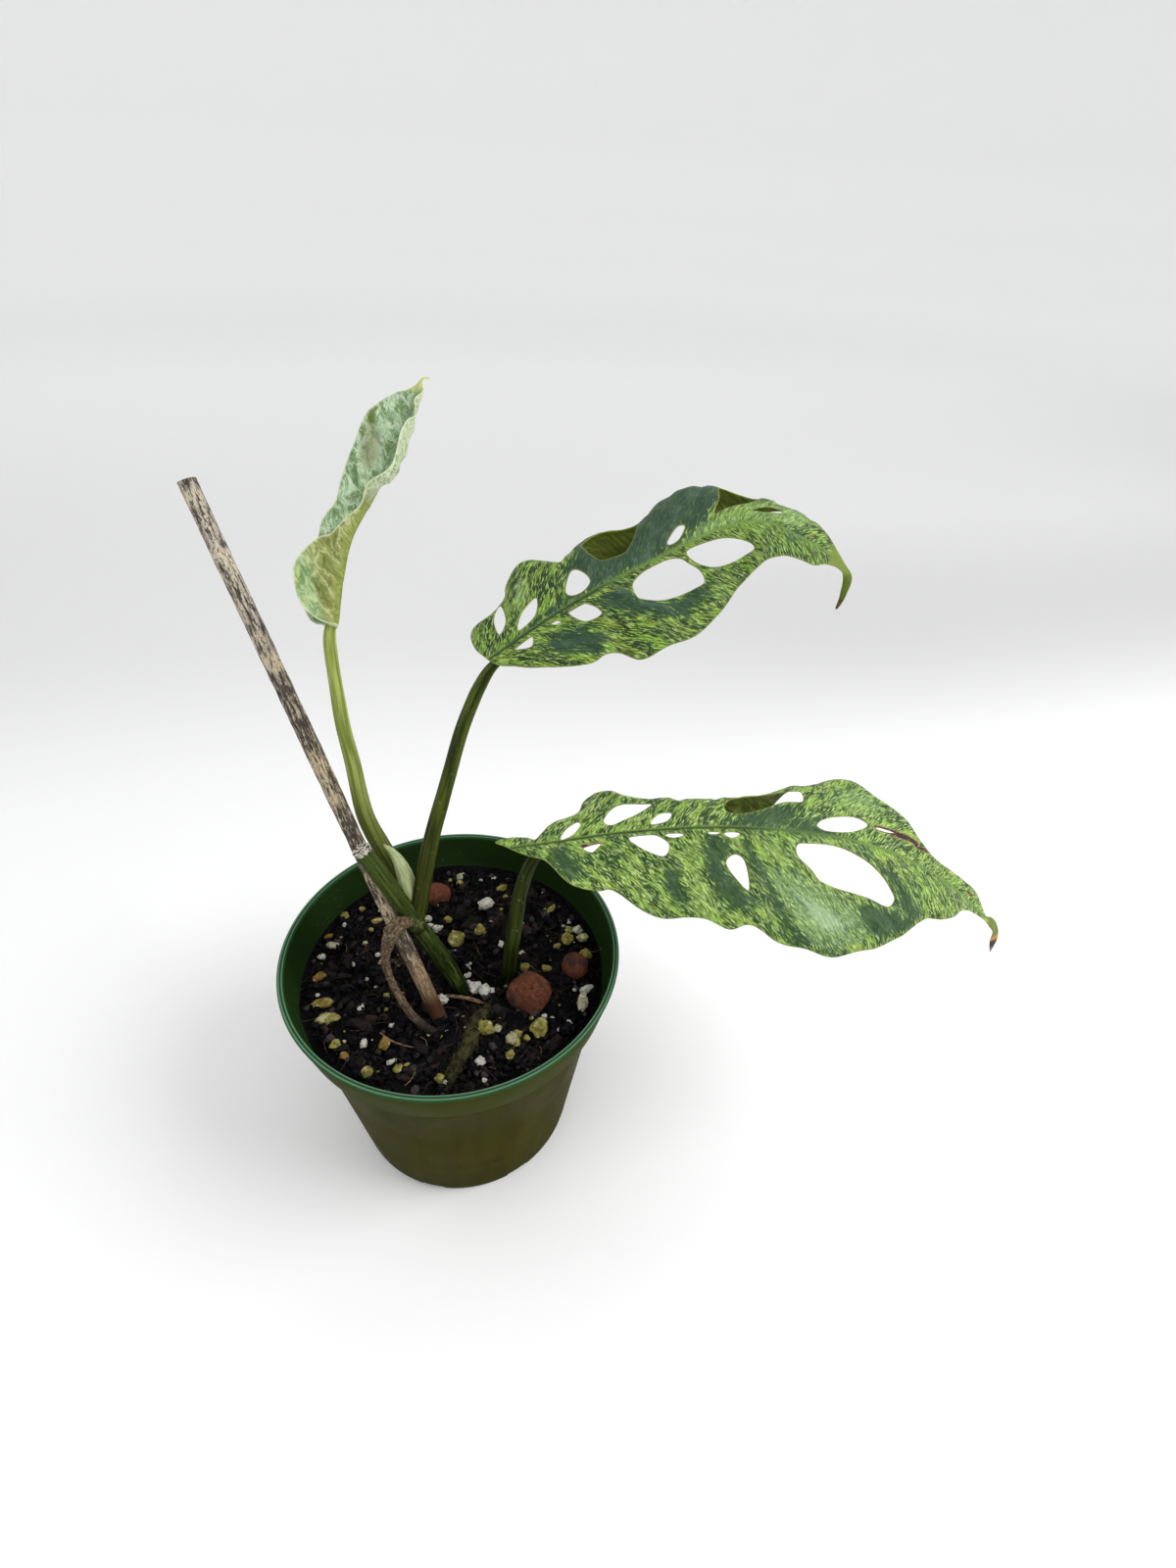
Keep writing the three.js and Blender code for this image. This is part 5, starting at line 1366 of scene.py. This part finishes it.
low_leaf = {
    "rib_height": [0, 1, 0.9, 0.8, 0.6, 0.4, 0.2, 0], "rib_width": [1.7, 1.2],
    "wave": (0.35, 19), "lean": 0.7, "vein_pitch": 11.5, "quilt": 0.6, "pucker": 0.4,
    "rib": [
        (28, 0, 124.5), (56, -3.5, 128.5), (84, -8, 130), (113, -13.5, 127.5), (135.5, -18.5, 121),
        (153, -25, 112), (166, -32, 101.5), (170.4, -34.5, 97), (171.4, -36.3, 87),
    ],
    "left": {
        "rise": [5, 12, 18, 19, 20, 21, 22, 20.5, 19, 16.5, 14, 11, 10], "bend": [-0.6],
        "fold_at": [10, 10, 9, 7, 7.5, 10, 14.5, 18, 18, 18, 18, 18, 18],
        "fold": [0, 0, 0, -9, -12, -12, -10, 0, 0, 0, 0, 0, 0],
    },
    "right": {
        "rise": [-5, -11, -15, -17, -18, -18, -18, -16.5, -15, -13, -12, -10, -10], "bend": [-0.8],
        "fold_at": [40], "fold": [0],
    },
    "outline": [
        (-0.8, 2.2), (1.2, 4.6), (5, 8), (12.5, 10), (15, 14.4), (18, 16.5), (21, 16.8), (24, 16),
        (28, 13.6), (35.5, 12.2), (39, 16), (44, 18.5), (50, 19.5), (56, 20), (62, 22.4), (68, 24.2),
        (74, 24), (79, 21), (83.5, 20.2), (89.5, 23.2), (95, 24.3), (102, 24), (107.5, 21.7), (112, 19.4),
        (116.4, 16.2), (121, 10.6), (125.5, 7.2), (131, 6), (138.6, 6.3), (144.9, 6.3), (148.5, 3.4),
        (150.8, 1.1), (153.5, 2.3), (158, 2.2), (165, 0.3), (165, -0.3), (158, -2), (153.5, -2.1),
        (150.6, -1), (146.4, -1.8), (142.7, -3.1), (139.7, -5.8), (137.3, -9.7), (132.7, -13.2),
        (126, -16.2), (120.3, -22.1), (116.8, -25.7), (110, -29.5), (102, -33.4), (94.7, -35.4),
        (87.4, -36.2), (81, -36.2), (70.7, -33.2), (62, -30), (55.8, -30.6), (49, -28), (42.4, -27.6),
        (35.8, -27), (31, -25.6), (26.3, -23.2), (20, -18), (15.7, -17.6), (9, -15.5), (5.6, -12),
        (1.9, -6.6), (-2.9, -4), (-6.3, -1.8), (-9.5, 0.8), (-13, 3.4), (-8.2, 4.4), (-3.2, 3.4),
    ],
    "windows": [
        [(6.8, 0.8), (8.9, 4.5), (12.4, 6.4), (13.1, 4.7), (10.4, 1.7)],
        [(20.3, 5.1), (23.1, 8.9), (26.8, 10.3), (32.3, 9.8), (35.2, 9.3), (30.9, 6.4), (26.8, 4.7),
         (22.5, 3.2)],
        [(34.1, 2.2), (36.9, 5.5), (40.7, 5.5), (38.9, 2.8)],
        [(57.2, 8.3), (57.6, 5.6), (62.6, 5.2), (68.5, 7.1), (75.2, 10.2), (81.2, 11.1), (81.5, 14.6),
         (79, 15.1), (69.9, 14.3), (61.5, 12.4)],
        [(85.2, 3.3), (89.1, 6.5), (97.7, 9), (102.5, 7.6), (96.9, 3.4), (88.6, 1.8)],
        [(105.2, 7.2), (107, 8.2), (112, 8.3), (108.8, 7.2)],
        [(13.1, -3.7), (15.5, -3), (18.5, -2.8), (16.8, -4.6), (15.3, -5.4)],
        [(27.2, -1.9), (34, -1.5), (37.8, -3.7), (38.7, -5.8), (37.2, -8.6), (34.4, -8.1), (29.6, -5.1)],
        [(37.9, -2), (40.8, -1.4), (43.6, -2.2), (40.5, -3)],
        [(50.7, -1.7), (52.6, -1.3), (54.6, -1.7), (52.5, -2.3)],
        [(55.7, -2.1), (58.2, -1.3), (60.5, -2), (58, -3.4)],
        [(58.3, -8.8), (61.1, -11.1), (61.7, -19.6), (57.7, -15.7), (55.4, -11.3)],
        [(78.2, -4.3), (82.3, -3.5), (88.3, -3.1), (93.6, -3.6), (101, -6), (107.1, -9.8), (110.3, -13),
         (111.7, -15.3), (109.5, -18), (103.1, -18), (94, -17), (85.3, -15.3), (81.6, -11.8),
         (77.8, -7.9)],
    ],
    "dark": [
        [(50, -4), (56, -5), (56.5, -9), (55, -12), (57.5, -16.5), (61.7, -20.5), (62, -25), (56, -25),
         (51, -19), (48.5, -12)],
        [(61, -5), (64, -8), (69, -18), (77, -30), (81, -34), (76, -34), (69, -24), (64, -14), (61, -9)],
        [(57, 0.3), (60, 3.4), (66, 6), (75, 9), (79, 9.5), (78, 5.5), (76, 1.5), (70, 0.2)],
        [(74, 0.4), (80, 3.5), (84, 6), (87, 6.4), (85, 3), (90, 1.5), (98, 1), (88, -0.6), (78, -1)],
        [(97, -4.2), (103, -5.8), (110, -11), (113, -15.5), (118, -19), (122, -18), (117, -12),
         (110, -7.2), (101, -4.2)],
        [(97, -21), (105, -19.5), (116, -19), (122, -18), (118, -23), (109, -27.5), (100, -27)],
        [(3, -3), (8, -4), (11, -12), (8, -13), (4, -8)],
        [(37, -12), (41, -16), (42, -23), (38, -22), (36, -16)],
    ],
    # Patches of painted highlight.
    "painted_highlight": [
        [(42, -6), (48, -6), (48, -18), (52, -27), (44, -27), (43, -16)],
        [(125, 4), (136, 4.5), (146, 4), (148, 1), (136, 1), (126, 1)],
        [(62, -3), (66, -3), (76, -10), (74, -12), (66, -8)],
        [(92, 10), (100, 11), (108, 12), (104, 16), (96, 16)],
    ],
    # Patches of painted sheen.
    "pale": [
        [(66, -13), (72, -13), (78, -15), (88, -18), (97, -21), (103, -25), (98, -31), (88, -34.5),
         (80, -33), (74, -26), (69, -19)],
        [(90, 14), (97, 19), (104, 20), (108, 16), (100, 12)],
    ],
    "brown": [
        [(103.8, 7), (107, 8.8), (113, 9), (118.2, 8.6), (122.8, 7.6), (125, 6.4), (120, 6.2),
         (112.6, 6.6)],
        [(12, -2.6), (15.5, -2.2), (19, -2.2), (19, -2.9), (15.5, -3.1), (13, -3.8)],
        [(140.5, 2.2), (142.6, 2.2), (142.6, 3.4), (140.5, 3.4)],
    ],
}
low_blade = build_blade("low_leaf_blade", low_leaf, 0.8)
stand_for(low_blade, leaf_finish("low_leaf_skin", low_looks), "grown_blade", "blade_3")

# Young leaf: not yet open, softer and paler than the grown ones, puckered, with green and mint
# blotches between white veins. Its stalk runs on as a thick rib, and the side strip is nearly white.
# It is built like the grown leaves, with one half rolled over to show its underside.
young_skin = new_finish("young_leaf_skin", 0.45, Specular_IOR_Level=0.25)
marks = vein_marks(6)
cell_spot = stretched(marks["warped"], 0.24, 0.15, 1)
cell = cellular(cell_spot, 1.0, "Color")
to_vein = cellular(cell_spot, 1.0, "Distance", feature="DISTANCE_TO_EDGE")
cell_shade = add_node("SeparateColor", {0: cell}).outputs[0]
flecks = streak(marks, 1.7, 0.8, 5.0, 5.0, 0.7)
clouds = streak(marks, 0.36, 0.26, 15.0, 4.0, 0.66)
hues = streak(marks, 0.3, 0.24, 35.0, 4.0, 0.64)
net = streak(marks, 0.9, 0.6, 25.0, 4.0, 0.66)
shaded = maths("ADD", clouds, swing(cell_shade, 0.12))
tone = coat((100, 134, 82), shaded, 0.41, 0.6, (162, 190, 156))
tone = coat(tone, hues, 0.5, 0.62, (98, 124, 52), 0.0, 0.8)
tone = coat(tone, flecks, 0.52, 0.62, (212, 228, 200), 0.0, 0.7)
tone = coat(tone, flecks, 0.34, 0.46, (78, 110, 60), 0.55, 0.0)
veins = maths("ADD", to_vein, swing(net, 0.6))
tone = coat(tone, veins, 0.0, 0.1, (206, 220, 184), 0.6, 0.0)
stained = step(marks["brown"], -2.5, 1.5, 0.0, 0.7)
bruise = coat((94, 104, 48), net, 0.4, 0.6, (158, 156, 124))
tone = mix(stained, tone, bruise)
tone = coat(tone, marks["dark"], -0.6, 0.4, (84, 106, 18), 0.0, 0.9)

lower = coat((104, 114, 46), clouds, 0.4, 0.6, (146, 152, 84))
lower = coat(lower, hues, 0.52, 0.64, (116, 108, 62), 0.0, 0.4)
lower = coat(lower, flecks, 0.5, 0.64, (176, 184, 118), 0.0, 0.5)
minted = coat((110, 142, 80), shaded, 0.4, 0.6, (176, 198, 152))
lower = coat(lower, marks["pale"], -1.5, 1.5, minted)
lower = coat(lower, veins, 0.0, 0.09, (198, 206, 150), 0.6, 0.0)
strip = coat((208, 220, 190), flecks, 0.48, 0.6, (112, 140, 68))
lower = coat(lower, marks["run"], 33, 40, strip, 0.0, 0.85)
off = maths("ABSOLUTE", marks["across"], 0.0)
stalk_green = coat((112, 124, 46), flecks, 0.4, 0.6, (146, 156, 78))
rib_cover = maths("MULTIPLY", step(off, 1.1, 1.7, 1.0, 0.0), step(marks["run"], 30, 52, 1.0, 0.2))
lower = mix(rib_cover, lower, stalk_green)
tone = coat(tone, marks["under"], 0.4, 0.6, lower)
tone = coat(tone, marks["rim"], 0.15, 0.6, (214, 228, 186), 0.6, 0.0)
into("Base Color", coat(tone, marks["run"], 70, 73, (196, 202, 128)))
into("Roughness", step(flecks, 0.3, 0.7, 0.36, 0.55))
height = maths("ADD", maths("MULTIPLY", to_vein, 6.0), flecks)
emboss(height, 0.5, 0.0005)

young_leaf = {
    "rib_height": [2, 1.7, 1.3, 1, 0.8, 0.6, 0.3, 0], "rib_width": [1.9, 1.5, 1.3, 1],
    "wave": (0.35, 13), "lean": 0.8, "vein_pitch": 7, "quilt": 0.55, "pucker": 0.75,
    "rib": [
        (-22.5, 20.5, 189.5), (-19.9, 29, 197.5), (-15.9, 38, 206), (-10.5, 45, 212), (-5, 51.5, 218.5),
        (-0.5, 57.5, 224), (3.5, 64.5, 230), (7, 70.5, 236), (9.4, 71.8, 236.4),
    ],
    "left": {"rise": [5, 10, 15, 15, 15, 15, 10, 5], "bend": [0.5], "fold_at": [30], "fold": [0]},
    "right": {
        "rise": [60, 60, 60, 38, -36, -20, 10, -12], "bend": [38, 38, 38, 34, 17, 17, 16, 15],
        "fold_at": [2.6], "fold": [-37, -37, -37, -30, 0, 0, 0, 0],
    },
    "outline": [
        (0, 1.4), (0.2, 4), (3, 6.4), (8, 7.6), (15, 7.6), (22, 7), (27, 7.8), (31, 7.4), (34, 7.8),
        (38, 9), (44, 10.1), (50, 10.7), (58, 11), (62, 10.6), (65, 9.2), (67.2, 7.8), (69.8, 5.4),
        (71.8, 2.4), (74, 0.6), (77.4, 0.3), (77.4, -0.3), (74, -0.7), (71, -3.2), (66, -6), (62, -5.2),
        (58, -8.4), (52, -9.5), (45, -9), (39.5, -7), (35, -3), (31.5, -2.4), (25.5, -4), (23, -5.2),
        (21.5, -7.6), (17, -10.5), (14, -11.6), (11, -11.6), (6, -9.8), (3.5, -8.4), (1.5, -6), (0, -2.7),
    ],
    "windows": [],
    "brown": [[(46, 4), (52, 5), (58, 7.4), (57, 9), (51, 8), (46, 6)]],
    "dark": [[(58, 8), (61, 8.6), (64, 8.8), (62, 9.8), (58, 9.6)]],
    "pale": [[(-2, -3), (8, -5.5), (15, -8), (20, -14), (-2, -14)]],
}
young_blade = build_blade("young_leaf_blade", young_leaf, 0.6)
stand_for(young_blade, young_skin, "young_blade", "blade_1")
